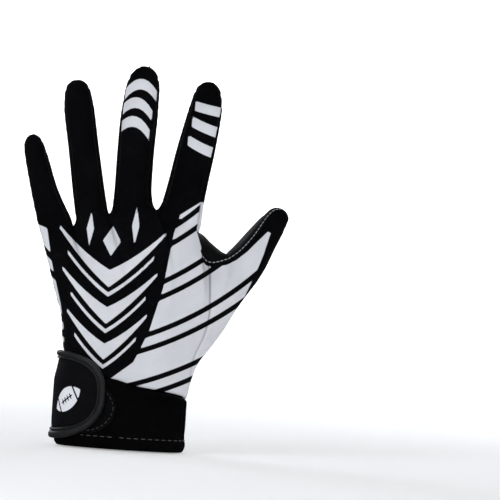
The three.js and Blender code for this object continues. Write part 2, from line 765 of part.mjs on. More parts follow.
function add(name, finish, geometry) {
  const mesh = new THREE.Mesh(geometry, new THREE.MeshStandardMaterial(COLOURS[finish]));
  mesh.name = name;
  glove.add(mesh);
}

const normals = skinNormals();
const PANELS = {
  back_panel: "stretch_fabric",
  palm_panel: "coated_palm",
  thumb_panel: "thumb_fabric",
  fourchette_pinky_ring: "stretch_fabric",
  fourchette_ring_middle: "stretch_fabric",
  fourchette_middle_index: "stretch_fabric",
  index_side: "stretch_fabric",
};
for (const [panel, finish] of Object.entries(PANELS)) {
  const faces = skin.faces.filter((f) => f.panel === panel).map((f) => f.indices);
  add(panel, finish, wallFrom(skin.points, normals, faces, FABRIC_WALL, SEAM_GAP));
}
add("cuff", "cuff_neoprene", cuff());
add("strap", "strap_fabric", strap());
add("strap_binding", "strap_rubber", strapBinding());
add("loop_patch", "loop_pile", loopPatch());

export default glove;
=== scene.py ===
"""A football glove: fabric, coating, stitching and print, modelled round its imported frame."""

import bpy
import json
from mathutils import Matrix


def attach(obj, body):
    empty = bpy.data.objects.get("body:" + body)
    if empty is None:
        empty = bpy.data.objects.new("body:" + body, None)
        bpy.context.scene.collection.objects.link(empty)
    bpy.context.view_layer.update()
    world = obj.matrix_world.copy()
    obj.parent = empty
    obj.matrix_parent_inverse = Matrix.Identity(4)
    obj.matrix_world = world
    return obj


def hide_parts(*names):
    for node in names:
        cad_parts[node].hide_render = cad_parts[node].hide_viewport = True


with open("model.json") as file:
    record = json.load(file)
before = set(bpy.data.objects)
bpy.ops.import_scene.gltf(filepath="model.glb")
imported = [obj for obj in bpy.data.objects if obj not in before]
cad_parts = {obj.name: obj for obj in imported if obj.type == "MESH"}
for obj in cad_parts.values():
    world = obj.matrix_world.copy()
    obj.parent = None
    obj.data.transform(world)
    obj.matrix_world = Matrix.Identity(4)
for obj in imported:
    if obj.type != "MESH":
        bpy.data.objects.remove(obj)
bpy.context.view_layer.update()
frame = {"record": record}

import json
import math
from collections import namedtuple

import bmesh
import bpy
import numpy as np
from mathutils import Matrix, Vector, kdtree, noise

bl_info = {
    "name": "Football glove",
    "version": (1, 0, 0),
    "blender": (4, 5, 0),
    "location": "3D View > Sidebar > Glove",
    "description": "Models a football glove's sewn panels, cuff and strap round its packed frame",
    "category": "Mesh",
}

# Tables are in millimetres, as the glove's pattern is, and meshes are in metres.
MM = 0.001


def table(fields, *rows):
    """Rows of figures with their fields by name; a row may leave out its last field."""
    row_type = namedtuple("Row", fields, defaults=[None])
    return [row_type(*row) for row in rows]


# The photograph's frame on the plane through the middle of the glove.
PHOTO_WIDTH = 300.0
PHOTO_CENTRE = (70.6, 124.4)
PHOTO_LEAN = 4.0

# A digit's outline as seen from the back, from its web to the start of its rounded tip. Only the
# thumb's table gives the angle of the seam on its inner side.
SECTION = "left_x left_z right_x right_z half palmward seam"
Digit = namedtuple("Digit", "name cap_length sections")
DIGITS = [
    Digit("pinky", 10.7, table(
        SECTION,
        (-57.8, 131.0, -37.4, 134.8, 8.4, 4.0),
        (-62.5, 147.5, -46.9, 152.4, 8.0, 4.6),
        (-67.1, 165.0, -53.5, 169.5, 7.2, 7.0),
        (-69.1, 173.0, -56.3, 177.2, 6.5, 8.8),
    )),
    Digit("ring", 10.5, table(
        SECTION,
        (-34.9, 135.2, -16.5, 143.6, 9.2, 1.6),
        (-37.9, 151.0, -18.9, 154.1, 9.0, 1.8),
        (-42.4, 177.0, -24.3, 179.9, 8.4, 4.2),
        (-46.6, 199.0, -28.6, 201.7, 7.8, 8.0),
        (-47.6, 208.5, -30.8, 211.0, 7.2, 10.0),
    )),
    Digit("middle", 15.4, table(
        SECTION,
        (-13.6, 143.9, 10.5, 148.6, 9.8, 0.5),
        (-13.1, 156.0, 9.2, 157.0, 9.6, 0.6),
        (-13.1, 178.0, 9.1, 178.0, 9.0, 2.2),
        (-12.7, 198.0, 9.7, 198.0, 8.4, 5.4),
        (-11.3, 215.6, 9.9, 216.2, 7.6, 9.0),
    )),
    Digit("index", 13.5, table(
        SECTION,
        (15.8, 149.0, 40.1, 132.8, 10.0, 2.0),
        (17.4, 155.5, 41.0, 148.4, 9.8, 1.8),
        (19.5, 166.0, 42.8, 163.0, 9.2, 2.6),
        (22.5, 182.5, 45.3, 180.0, 8.7, 4.6),
        (27.6, 205.5, 47.9, 203.5, 7.9, 8.6),
        (29.0, 212.0, 47.9, 210.2, 7.4, 10.0),
    )),
    Digit("thumb", 9, table(
        SECTION,
        (55.9, 120.8, 76.0, 105.2, 11.2, 9.6, 46),
        (60.9, 126.0, 80.9, 114.5, 10.8, 11.4, 36),
        (68.4, 135.4, 85.4, 125.8, 9.9, 13.6, 31),
        (74.6, 142.9, 89.2, 134.6, 8.6, 15.4, 40),
        (77.9, 146.2, 91.0, 139.5, 7.8, 16.0, 50),
    )),
]
SECTION_POWER = 2.3
SEAM_ANGLE = 62
SEAM_ANGLE_AT_TIP = 82
SEAM_TAPER_START = 0.45
BACK_COLUMNS = 6
CAP_ANGLES = (28, 50, 70, 90)
DIGIT_STEP = 0.25

# The webs between digits. Each place on the way across gives how far the back seam, the saddle and
# the palm side hang there below the line between the two digits. The thumb's web is drawn taut.
Web = namedtuple("Web", "panel places")
SAG = "share seam saddle palm"
WEBS = [
    Web("fourchette_pinky_ring", table(SAG, (0.5, 4.6, 3.6, 4.6))),
    Web("fourchette_ring_middle", table(SAG, (0.5, 4.6, 3.6, 4.6))),
    Web("fourchette_middle_index", table(SAG, (0.5, 5.6, 4.4, 5.6))),
    Web("palm_panel", table(SAG, (0.13, 10.6, 0.5, 1.6), (0.38, 12.7, 1.0, 3.2), (0.72, 6.6, 0.8, 2.4))),
]

# The body's outline by its share of the way from the cuff seam to the webs.
BODY = table(
    "share left right back palm",
    (0.0, -37.4, 38.8, 22.0, 22.0),
    (0.18, -36.4, 41.3, 20.8, 20.8),
    (0.32, -38.8, 44.8, 19.2, 19.6),
    (0.45, -40.2, 51.4, 17.6, 18.8),
    (0.6, -45.0, 58.4, 15.8, 17.4),
    (0.8, -51.2, 66.2, 13.6, 15.0),
    (1.0, -57.8, 76.0, 11.4, 12.4),
)
BODY_PLACES = [row.share for row in BODY]
BODY_ROWS = 20
MIDDLE_COLUMN = 20
ROW_CROWDING = 1.15
BLEND_START = 0.64
BLEND_POWER = 1.7
THUMB_SHIFT = 9
THUMB_SHIFT_POWER = 1.2
THUMB_SHIFT_SIDES = (0.3, 0.95)
FORM_RISE = (0, 0.3)
BODY_POWER_AT_CUFF = 2.0
BODY_POWER_AT_WEBS = 2.7

# Angles round the wrist of each side's columns: below the little finger, at the thumb's seam and at
# the thumb's far end.
BACK_WRIST = (-SEAM_ANGLE, 90, 112)
PALM_WRIST = (242, 138, 120)

PALM_FORMS = table("x z radius height", (40, 74, 25, 6), (-28, 72, 22, 3.2), (2, 98, 22, -3))
FOLD = "x z half_length half_width tilt height"
FOLDS = {
    "back": table(FOLD, (6, 52, 24, 4.2, -4, 1.3), (-8, 65, 19, 4.6, 14, 1.1)),
    "palm": table(FOLD, (10, 45, 26, 4.4, 3, 1.7), (-8, 58, 24, 4.6, -7, 1.5), (30, 62, 17, 4.8, 14, 1.5)),
}

# Finer folds that are only in the cloth: creases, so their height is negative.
FINE_FOLDS = {
    "back": table(
        FOLD, (-22, 72, 9, 1.6, 32, -0.5), (-16, 60, 12, 1.8, 18, -0.55), (4, 47, 17, 1.5, -6, -0.6),
        (27, 50, 10, 1.6, 9, -0.45), (45, 78, 9, 1.8, 62, -0.4),
    ),
    "palm": table(
        FOLD, (-1.5, 176, 9, 1.3, 2, -0.75), (-1, 199, 9, 1.2, 3, -0.6), (34, 177, 9, 1.3, -8, -0.75),
        (37.5, 198, 8, 1.2, -6, -0.6), (-33.5, 172, 8, 1.3, 9, -0.75), (-37, 193, 7, 1.2, 9, -0.6),
        (-56, 152, 7, 1.2, 17, -0.7), (-60, 166, 6, 1.1, 19, -0.55), (-2, 149, 12, 1.8, 3, -0.6),
        (28, 146, 12, 1.8, -20, -0.6), (-27, 143, 10, 1.7, 16, -0.6), (6, 126, 30, 2.2, 6, -0.9),
        (16, 112, 26, 2.2, -16, -0.9), (22, 88, 25, 2.4, -58, -1.0), (36, 100, 15, 1.6, -30, -0.6),
        (44, 88, 13, 1.5, -38, -0.5), (74, 128, 8, 1.3, -32, -0.6), (-20, 96, 15, 1.8, 40, -0.5),
        (-30, 84, 13, 1.5, 28, -0.55), (-34, 68, 11, 1.4, 12, -0.6), (-24, 50, 14, 1.5, -8, -0.65),
        (12, 52, 22, 1.5, 4, -0.7), (34, 48, 13, 1.5, 12, -0.6), (4, 37, 24, 1.6, 2, -0.6),
    ),
}

# The wrist's tube, its hem and the seams up its sides.
CUFF_HALF_WIDTH = 38.4
CUFF_THUMB_SIDE_EXTRA = 0.9
CUFF_HALF_DEPTH = 22.6
CUFF_WALL = 2.2
CUFF_STRAIGHT_HEIGHT = 36
CUFF_COLUMNS = 144
CUFF_ROWS = 28
CUFF_TOP_GAP = 0.15
CUFF_TOP_TUCK = 0.9
HEM_HEIGHT = 7.6
BODY_STEP_IN = 0.6
BODY_STEP_HEIGHTS = (38, 46)
TUCK_START = 40
TUCK_REACH = 91
HAND_TAPER_START = 44
HAND_TAPER = 0.1
SIDE_SEAMS = (76, -104)
CUFF_TOP = table(
    "angle height", (-180, 27.6), (-120, 30), (-80, 36), (-35, 43.0), (-8, 42.0), (10, 39.1),
    (30, 37.3), (66, 34.5), (88, 32.4), (120, 29.2), (180, 27.6),
)
CUFF_TOP_PLACES = [row.angle for row in CUFF_TOP]
# The hem's rows: how high each is, and how far it stands out.
HEM = table(
    "height outside", (0.0, -1.55), (0.5, -1.0), (1.4, -0.3), (2.6, 0.3), (4.0, 0.6), (5.6, 0.66),
    (6.6, 0.5), (7.2, 0.1), (7.6, -0.25), (8.0, 0.1), (8.6, 0.12),
)

# The strap, its moulded edge and the pile patch under its end. The strap's bottom side comes first.
STRAP_ROOT_ANGLE = -99
STRAP_END_ANGLE = -12.9
STRAP_LENGTH = 60.0
STRAP_MIDDLE = 31.6
STRAP_STRAIGHT = 0.3
STRAP_SIDES = table("half roundness binding_at_root", (27.4, 2.35, 6.4), (25.0, 2.9, 4.8))
STRAP_WALL = 2.0
STRAP_LIFT_AT_ROOT = 0.35
STRAP_LIFT = 1.45
STRAP_LIFT_AT_TOP = 0.9
STRAP_LIFT_HEIGHTS = (42, 58)
STRAP_LIFT_SHARES = (0, 0.35)
STRAP_CROWN = 0.45
STRAP_SINK = 0.3
STRAP_GRID = (110, 110)
BINDING_WIDTH = 4.8
BINDING_TAPER = (0.45, 0.95)
BINDING_HEIGHT = 3.4
BINDING_STEPS = 120
BINDING_OVERLAP = 0.25
# The binding's section: sideways and outward places, as shares of its half width and its height.
BINDING_SECTION = [
    (1.0, 0.06), (1.03, 0.32), (1.0, 0.66), (0.88, 0.9), (0.66, 1.0), (0.3, 1.02), (-0.02, 0.98),
    (-0.22, 0.86), (-0.32, 0.68), (-0.42, 0.66), (-0.5, 0.8), (-0.62, 0.88), (-0.8, 0.86), (-0.94, 0.7),
    (-1.0, 0.44), (-1.0, 0.06),
]
PATCH_START_ANGLE = -60
PATCH_END_ANGLE = -4
PATCH_MIDDLE = 24.6
PATCH_HALF_HEIGHT = 15.4
PATCH_WALL = 0.8
PATCH_CLEARANCE = 0.3
PATCH_ROUNDNESS = 2.2
PATCH_RAGGED = 0.12
PATCH_RIM_DROP = 0.5
PATCH_GRID = (40, 36)
# A tab's last column lies at this share of its length, so that it does not shrink to one corner.
TAB_END = 0.9995

# The print. Bars cross the middle and the index finger; the rest is nested chevrons on the hand
# with slim diamonds above them, and curved bands that sweep from the wrist to the thumb.
BARS = table(
    "left_x left_z right_x right_z thickness bow",
    (-14.0, 210.5, 8.2, 215.6, 6.4, 9.3),
    (-15.0, 201.5, 6.4, 203.6, 6.5, 8.6),
    (-16.0, 190.2, 5.6, 192.0, 6.5, 8.6),
    (31.8, 211.4, 52.0, 208.1, 5.9, -0.5),
    (30.6, 202.1, 51.0, 195.6, 6.4, -0.9),
    (28.9, 190.8, 50.0, 183.1, 6.4, -1.3),
)
BAR_STEPS = 8
CHEVRON_X = -12.0
CHEVRON_STEPS = 6
CHEVRONS = table(
    "apex_z half_span rise bow middle tip",
    (58.0, 24.0, 23.0, 1.6, 9.6, 2.0),
    (79.5, 28.5, 26.5, 1.9, 10.0, 2.0),
    (101.5, 32.0, 29.0, 2.1, 10.4, 2.0),
    (49.0, 18.5, 18.0, 1.3, 2.4, 2.3),
    (70.2, 22.5, 21.2, 1.6, 2.5, 2.3),
    (92.0, 26.0, 23.8, 1.8, 2.6, 2.3),
)
DIAMONDS = table(
    "x z wide high", (-12, 124.0, 5.4, 9.0), (-25.5, 130.5, 2.2, 10.5), (1.5, 134.0, 2.2, 12.0)
)
BAND_FIELD = [
    (-8.5, 41.0), (6.0, 53.0), (14.0, 72.0), (20.5, 98.0), (24.5, 131.0), (27.5, 142.5), (42.0, 153.0),
    (53.0, 146.0), (41.0, 122.0), (44.6, 113.2), (50.8, 112.9), (57.6, 114.6), (63.0, 117.9), (69.2, 123.4),
    (74.6, 129.6), (80.6, 136.2), (82.3, 135.4), (78.9, 122.0), (75.4, 111.6), (66.9, 89.9), (80.0, 70.0),
    (60.0, 20.0), (-8.5, 20.0),
]
EDGE_FIELD = [(-66, 134), (-51.5, 129), (-47.0, 108), (-40.2, 84), (-37.4, 70), (-36.5, 61), (-50, 61)]
BANDS = table(
    "centre start widths field",
    ((-60.0, 250.0), 126.0, (15.0, 5.0), BAND_FIELD),
    ((60.0, 235.0), 148.0, (14.0, 4.0), EDGE_FIELD),
)
BAND_GAP = 3.0
INDEX_SIDE_WHITE_TOP = 151.0
UNPRINTED = -10.0

# The plain ball on the strap: its place and size, then the seam, the laces and the stripes in it.
EMBLEM_SHARE = 0.585
EMBLEM_Z = 28.2
EMBLEM_HALF_LENGTH = 12.0
EMBLEM_HALF_HEIGHT = 6.7
EMBLEM_TILT = 32
EMBLEM_SEAM = (0.42, 5.0)
EMBLEM_LACE = (0.4, 1.9)
EMBLEM_LACES = (-3.6, -1.2, 1.2, 3.6)
EMBLEM_STRIPE = 0.55
EMBLEM_STRIPES = (-7.7, 7.7)

# Each piece of cloth: its material slot, the width and length it is cut from, and its flat area. The
# first seven are the hand's panels.
Cut = namedtuple("Cut", "slot width length area")
CUTS = {
    "back_panel": Cut("stretch_fabric", 140, 208, 16200),
    "palm_panel": Cut("coated_palm", 172, 212, 19400),
    "thumb_panel": Cut("thumb_fabric", 58, 128, 3100),
    "fourchette_pinky_ring": Cut("stretch_fabric", 14, 168, 1050),
    "fourchette_ring_middle": Cut("stretch_fabric", 14, 178, 1230),
    "fourchette_middle_index": Cut("stretch_fabric", 15, 173, 1200),
    "index_side": Cut("stretch_fabric", 13, 88, 660),
    "cuff": Cut("cuff_neoprene", 196, 44, 6500),
    "strap": Cut("strap_fabric", 54, 44, 1650),
    "loop_patch": Cut("loop_pile", 36, 31, 960),
}
PANEL_NAMES = list(CUTS)[:7]

# Stitches: their length, the gap between two and their radius.
TOPSTITCH = (2.3 * MM, 0.25 * MM, 0.34 * MM)
TOPSTITCH_LIFT = 0.45
HEM_STITCH = (3.4 * MM, 0.9 * MM, 0.34 * MM)
PATCH_STITCH = (2.2 * MM, 0.8 * MM, 0.28 * MM)
PATCH_STITCH_INSET = 1.4
PATCH_STITCH_END = 1.6
HEM_STITCH_LIFT = 0.02
PATCH_STITCH_LIFT = 0.05
HEM_STEPS = 240
PATCH_STEPS = 80

# The stage: a wide round bowl of pale paper, and the softboxes.
BOWL_RADIUS = 4.0
BOWL_HEIGHT = 3.0
BOWL_BEND = 0.8
FLOOR_DROP = 0.0004
LAMP_COLOUR = (0.88, 0.94, 1.0)
WORLD_COLOUR = (0.94, 0.96, 1.0, 1)
WORLD_STRENGTH = 0.08
LAMPS = table(
    "name place aim size power",
    ("key", (-0.75, -1.2, 0.9), (0, 0, 0.12), 0.55, 6.0),
    ("fill", (1.1, -1.0, 0.5), (0.02, 0, 0.12), 0.7, 1.4),
    ("back_left", (-0.9, 1.1, 0.6), (0, 0, 0.12), 0.45, 5.0),
    ("back_right", (0.8, 1.2, 0.7), (0, 0, 0.12), 0.45, 4.0),
)


# Settings


def record_colour(slot, factor):
    """Base colour that the record gives a material slot, darkened by a factor."""
    material = next(item for item in frame["record"]["materials"] if item["slot"] == slot)
    return [channel * factor for channel in material["base_color"][:3]]


def length_setting(name, description, default, least=0.0):
    return bpy.props.FloatProperty(
        name=name, description=description, default=default, min=least, unit="LENGTH"
    )


def colour_setting(name, description, default):
    return bpy.props.FloatVectorProperty(
        name=name, description=description, subtype="COLOR", size=3, default=default, min=0.0, max=1.0
    )


class GloveSizes(bpy.types.PropertyGroup):
    """Sizes that a user would change."""

    fabric_wall: length_setting("Fabric wall", "Thickness of the panels", 0.0014, 0.0005)
    seam_depth: length_setting("Seam depth", "How far a panel's edge is pulled in", 0.0009)
    seam_width: length_setting("Seam width", "Reach of the groove beside a seam", 0.0013, 0.0002)
    crinkle: length_setting("Crinkle", "Height of the coated palm's crinkles", 0.00042)
    smoothness: bpy.props.IntProperty(
        name="Smoothness", description="Subdivision level of the panels", default=2, min=1, max=3
    )


class GloveColours(bpy.types.PropertyGroup):
    """Colours that a user would change."""

    black: colour_setting("Black fabric", "Ground of the print", record_colour("stretch_fabric", 0.11))
    neoprene: colour_setting("Neoprene", "Colour of the cuff", record_colour("cuff_neoprene", 0.12))
    white: colour_setting("White ink", "Colour of the printed shapes", record_colour("thumb_fabric", 0.92))
    coating: colour_setting("Palm coating", "Grip coating's colour", record_colour("coated_palm", 0.25))
    rubber: colour_setting("Strap edge", "Colour of the moulded edge", record_colour("strap_rubber", 0.42))
    thread: colour_setting("Thread", "Colour of the hem's stitches", (0.06, 0.06, 0.066))


class GloveStage(bpy.types.PropertyGroup):
    """The camera and the studio."""

    lens: bpy.props.FloatProperty(
        name="Lens", description="Focal length of the camera", default=300.0, min=20.0, unit="CAMERA"
    )
    floor: colour_setting("Floor", "Colour of the floor and backdrop", (0.9, 0.9, 0.9))


# Shape functions


def lerp(a, b, t):
    return a + (b - a) * t


def smoothstep(value, low, high):
    t = min(max((value - low) / (high - low), 0.0), 1.0)
    return t * t * (3 - 2 * t)


def super_power(value, power):
    """A signed power of a sine or cosine, which turns a circle into a superellipse."""
    return math.copysign(abs(value) ** (2 / power), value)


def read_table(rows, key, place, places):
    """Value of a table's column at a place, on a smooth curve through the rows."""
    i = 0
    while i < len(rows) - 2 and place > places[i + 1]:
        i += 1
    values = [getattr(row, key) for row in rows]

    def slope(k):
        low, high = max(k - 1, 0), min(k + 1, len(rows) - 1)
        return (values[high] - values[low]) / (places[high] - places[low])

    span = places[i + 1] - places[i]
    t = (place - places[i]) / span
    t2 = t * t
    t3 = t2 * t
    start = (2 * t3 - 3 * t2 + 1) * values[i] + (t3 - 2 * t2 + t) * span * slope(i)
    return start + (3 * t2 - 2 * t3) * values[i + 1] + (t3 - t2) * span * slope(i + 1)


def body_size(key, share):
    return read_table(BODY, key, share, BODY_PLACES)


def cuff_seam_height(angle):
    return read_table(CUFF_TOP, "height", angle - 360 if angle > 180 else angle, CUFF_TOP_PLACES)


RingSection = namedtuple("RingSection", "centre across half inner seam")


def digit_section(digit, place):
    """A digit's cross-section at a place counted in table rows."""
    places = range(len(digit.sections))

    def read(key):
        return read_table(digit.sections, key, place, places)

    left = Vector((read("left_x"), read("palmward"), read("left_z")))
    right = Vector((read("right_x"), read("palmward"), read("right_z")))
    taper = smoothstep(place / places[-1], SEAM_TAPER_START, 1)
    seam = lerp(SEAM_ANGLE, SEAM_ANGLE_AT_TIP, taper)
    inner = read("seam") if digit.sections[0].seam else seam
    return RingSection((left + right) / 2, (right - left) / 2, read("half"), inner, seam)


RING_SIZE = 2 * (BACK_COLUMNS + 1) + 2
RIGHT_MID = BACK_COLUMNS + 1
PALM_FIRST = BACK_COLUMNS + 2
PALM_LAST = PALM_FIRST + BACK_COLUMNS
LEFT_MID = PALM_LAST + 1


def digit_ring(section, shrink=1.0, push=Vector()):
    """A ring round a digit: its back, its right side, its palm side and its left side."""
    steps = [i / BACK_COLUMNS for i in range(BACK_COLUMNS + 1)]
    angles = [lerp(-section.inner, section.seam, step) for step in steps] + [90]
    angles += [lerp(180 - section.seam, 180 + section.seam, step) for step in steps] + [270]
    ring = []
    for angle in angles:
        side = super_power(math.sin(math.radians(angle)), SECTION_POWER) * shrink
        depth = super_power(math.cos(math.radians(angle)), SECTION_POWER) * shrink
        point = section.centre + section.across * side
        point.y -= depth * section.half
        ring.append(point + push)
    return ring


def digit_rings(digit):
    """Every ring of a digit from the web up, the last one a single point at the tip."""
    last = len(digit.sections) - 1
    rings = [digit_ring(digit_section(digit, i * DIGIT_STEP)) for i in range(int(last / DIGIT_STEP) + 1)]
    end = digit_section(digit, last)
    axis = (end.centre - digit_section(digit, last - DIGIT_STEP).centre).normalized()
    for angle in CAP_ANGLES:
        push = axis * digit.cap_length * math.sin(math.radians(angle))
        rings.append(digit_ring(end, math.cos(math.radians(angle)), push))
    tip = end.centre + axis * digit.cap_length
    rings[-1] = [tip.copy() for _ in range(RING_SIZE)]
    return rings


def palm_form(x, z):
    return sum(f.height * math.exp(-((x - f.x) ** 2 + (z - f.z) ** 2) / f.radius**2) for f in PALM_FORMS)


def fold_height(folds, x, z):
    """Height of a side's folds at a place; works on numbers and on arrays."""
    total = 0.0
    for fold in folds:
        tilt = math.radians(fold.tilt)
        along = (x - fold.x) * math.cos(tilt) + (z - fold.z) * math.sin(tilt)
        across = (z - fold.z) * math.cos(tilt) - (x - fold.x) * math.sin(tilt)
        reach = np.exp(-((along / fold.half_length) ** 4))
        total = total + fold.height * reach * np.exp(-((across / fold.half_width) ** 2))
    return total


def body_section_point(share, degrees, z):
    """A point on the body's section at a share of its height."""
    angle = math.radians(degrees)
    left, right = body_size("left", share), body_size("right", share)
    power = lerp(BODY_POWER_AT_CUFF, BODY_POWER_AT_WEBS, share)
    side = super_power(math.sin(angle), power)
    depth = super_power(math.cos(angle), power)
    x = (left + right) / 2 + side * (right - left) / 2
    middle = THUMB_SHIFT * share**THUMB_SHIFT_POWER * smoothstep(side, *THUMB_SHIFT_SIDES)
    rise = smoothstep(share, *FORM_RISE)
    if depth > 0:
        fold = float(fold_height(FOLDS["back"], x, z)) * depth * rise
        return Vector((x, middle - body_size("back", share) * depth - fold, z))
    form = (palm_form(x, z) + float(fold_height(FOLDS["palm"], x, z))) * rise
    return Vector((x, middle - (body_size("palm", share) + form) * depth, z))


def angle_at_top(x, on_palm):
    """Angle at which the body's outline reaches a place of its top edge."""
    left, right = BODY[-1].left, BODY[-1].right
    side = min(max((2 * x - left - right) / (right - left), -1), 1)
    angle = math.degrees(math.asin(math.copysign(abs(side) ** (BODY_POWER_AT_WEBS / 2), side)))
    return 180 - angle if on_palm else angle


Column = namedtuple("Column", "top wrist top_angle panel")


def body_point(share, column):
    """A point on one of the body's columns, which runs from its wrist angle to its top point."""
    z = lerp(cuff_seam_height(column.wrist), column.top.z, share)
    point = body_section_point(share, lerp(column.wrist, column.top_angle, share), z)
    miss = column.top - body_section_point(1.0, column.top_angle, column.top.z)
    return point + miss * smoothstep(share, BLEND_START, 1) ** BLEND_POWER


def wrist_point(angle, height, outside):
    """A point round the wrist, outside the cuff by a given amount."""
    turn = math.radians(angle)
    tuck = body_size("left", max(0, (height - TUCK_START) / TUCK_REACH)) - BODY[0].left
    upper = smoothstep(height, *BODY_STEP_HEIGHTS)
    half_width = CUFF_HALF_WIDTH + CUFF_THUMB_SIDE_EXTRA * max(0, math.sin(turn))
    half_width -= upper * (BODY_STEP_IN + max(0, tuck) * max(0, -math.sin(turn)))
    half_depth = CUFF_HALF_DEPTH - upper * (BODY_STEP_IN + max(0, (height - HAND_TAPER_START) * HAND_TAPER))
    x = (half_width + outside) * math.sin(turn)
    return Vector((x, -(half_depth + outside) * math.cos(turn), height))


# Mesh helpers


def add_patch(mesh, columns, rows, point_at, panel_at=None, uv_at=None):
    """Adds a grid of faces, each corner put where point_at(column, row) says, in millimetres."""
    made = bmesh.ops.create_grid(mesh, x_segments=columns, y_segments=rows, size=1)["verts"]
    place = {v: (round((v.co.x + 1) / 2 * columns), round((v.co.y + 1) / 2 * rows)) for v in made}
    layers = mesh.loops.layers.uv
    cloth = layers.get("cloth") or layers.new("cloth")
    for face in {face for vert in made for face in vert.link_faces}:
        corners = [place[loop.vert] for loop in face.loops]
        if panel_at:
            face.material_index = PANEL_NAMES.index(panel_at(*map(min, zip(*corners))))
        if uv_at:
            for loop, corner in zip(face.loops, corners):
                loop[cloth].uv = [value * MM for value in uv_at(*corner)]
    for vert, corner in place.items():
        vert.co = point_at(*corner) * MM


def weld(mesh):
    bmesh.ops.remove_doubles(mesh, verts=mesh.verts, dist=2e-6)


def patch_mesh(columns, rows, point_at, uv_at=None):
    """A bmesh that is one welded patch."""
    mesh = bmesh.new()
    add_patch(mesh, columns, rows, point_at, uv_at=uv_at)
    weld(mesh)
    return mesh


def link_mesh(mesh, name):
    """Makes a bmesh a smooth object of the scene."""
    data = bpy.data.meshes.new(name)
    mesh.to_mesh(data)
    mesh.free()
    data.shade_smooth()
    item = bpy.data.objects.new(name, data)
    bpy.context.scene.collection.objects.link(item)
    return item


def add_modifier(piece, kind, **values):
    modifier = piece.modifiers.new(kind.title(), kind)
    for key, value in values.items():
        setattr(modifier, key, value)


def finish_piece(mesh, name, slot, node, *materials, wall=0.0, level=0):
    """Makes a bmesh a piece that rides on the glove and stands for its node."""
    piece = link_mesh(mesh, name)
    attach(piece, "root")
    if node:
        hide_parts(node)
    for material in materials:
        piece.data.materials.append(material)
    if wall:
        inside = len(materials) - 1
        add_modifier(piece, "SOLIDIFY", thickness=wall, offset=-1, use_rim=True, material_offset=inside)
    if level:
        add_modifier(piece, "SUBSURF", levels=level, render_levels=level)
    return piece


def finish_cloth(mesh, name, node, *materials, wall, level=0):
    return finish_piece(mesh, name, CUTS[node].slot, node, *materials, wall=wall, level=level)


def set_attribute(data, name, values):
    layer = data.attributes.new(name, "FLOAT", "POINT")
    layer.data.foreach_set("value", np.asarray(values, dtype=np.float32))


def coordinates(data):
    flat = np.empty(len(data.vertices) * 3, dtype=np.float32)
    data.vertices.foreach_get("co", flat)
    return flat.reshape(-1, 3).astype(float)


def set_coordinates(data, points):
    data.vertices.foreach_set("co", points.astype(np.float32).ravel())
    data.update()


# The print, as signed distances in millimetres that are positive inside a printed shape


def polygon_distance(x, z, points):
    """Signed distance to a closed outline."""
    nearest = np.full(x.shape, np.inf)
    inside = np.zeros(x.shape, dtype=bool)
    for (ax, az), (bx, bz) in zip(points, points[1:] + points[:1]):
        dx, dz = bx - ax, bz - az
        t = np.clip(((x - ax) * dx + (z - az) * dz) / (dx * dx + dz * dz), 0, 1)
        nearest = np.minimum(nearest, np.hypot(x - ax - t * dx, z - az - t * dz))
        height = dz if abs(dz) > 1e-9 else 1e-9
        inside ^= ((az > z) != (bz > z)) & (x < ax + (z - az) * dx / height)
    return np.where(inside, nearest, -nearest)


def bar_outline(bar):
    """A finger bar's outline: a bowed top edge and the same edge lower down."""
    top = []
    for i in range(BAR_STEPS + 1):
        t = i / BAR_STEPS
        rise = bar.bow * 4 * t * (1 - t)
        top.append((lerp(bar.left_x, bar.right_x, t), lerp(bar.left_z, bar.right_z, t) + rise))
    return top + [(x, z - bar.thickness) for x, z in reversed(top)]


def chevron_outline(chevron):
    """A chevron's outline: thick in the middle, with slightly bowed limbs that thin to their tips."""
    top, bottom = [], []
    for i in range(-CHEVRON_STEPS, CHEVRON_STEPS + 1):
        t = abs(i) / CHEVRON_STEPS
        x = CHEVRON_X + chevron.half_span * i / CHEVRON_STEPS
        z = chevron.apex_z + chevron.rise * t - chevron.bow * 4 * t * (1 - t)
        half = lerp(chevron.middle, chevron.tip, t) / 2
        top.append((x, z + half))
        bottom.append((x, z - half))
    return top + bottom[::-1]


def diamond_outline(shape):
    x, z = shape.x, shape.z
    return [(x, z - shape.high), (x + shape.wide, z), (x, z + shape.high), (x - shape.wide, z)]


def band_distance(x, z, bands):
    """Signed distance to bands that curve about a far centre, kept inside their field."""
    period = sum(bands.widths) + len(bands.widths) * BAND_GAP
    place = np.mod(np.hypot(x - bands.centre[0], z - bands.centre[1]) - bands.start, period)
    distance = polygon_distance(x, z, bands.field)
    edge = 0.0
    for width in bands.widths:
        edge += width
        for turn in (-period, 0, period):
            middle = edge + BAND_GAP / 2 + turn
            distance = np.minimum(distance, np.abs(place - middle) - BAND_GAP / 2)
        edge += BAND_GAP
    return distance


def print_distance(x, z):
    """Signed distance to the nearest edge of the glove's print."""
    outlines = [*map(bar_outline, BARS), *map(chevron_outline, CHEVRONS), *map(diamond_outline, DIAMONDS)]
    shapes = [polygon_distance(x, z, outline) for outline in outlines]
    shapes += [band_distance(x, z, bands) for bands in BANDS]
    return np.max(shapes, axis=0)


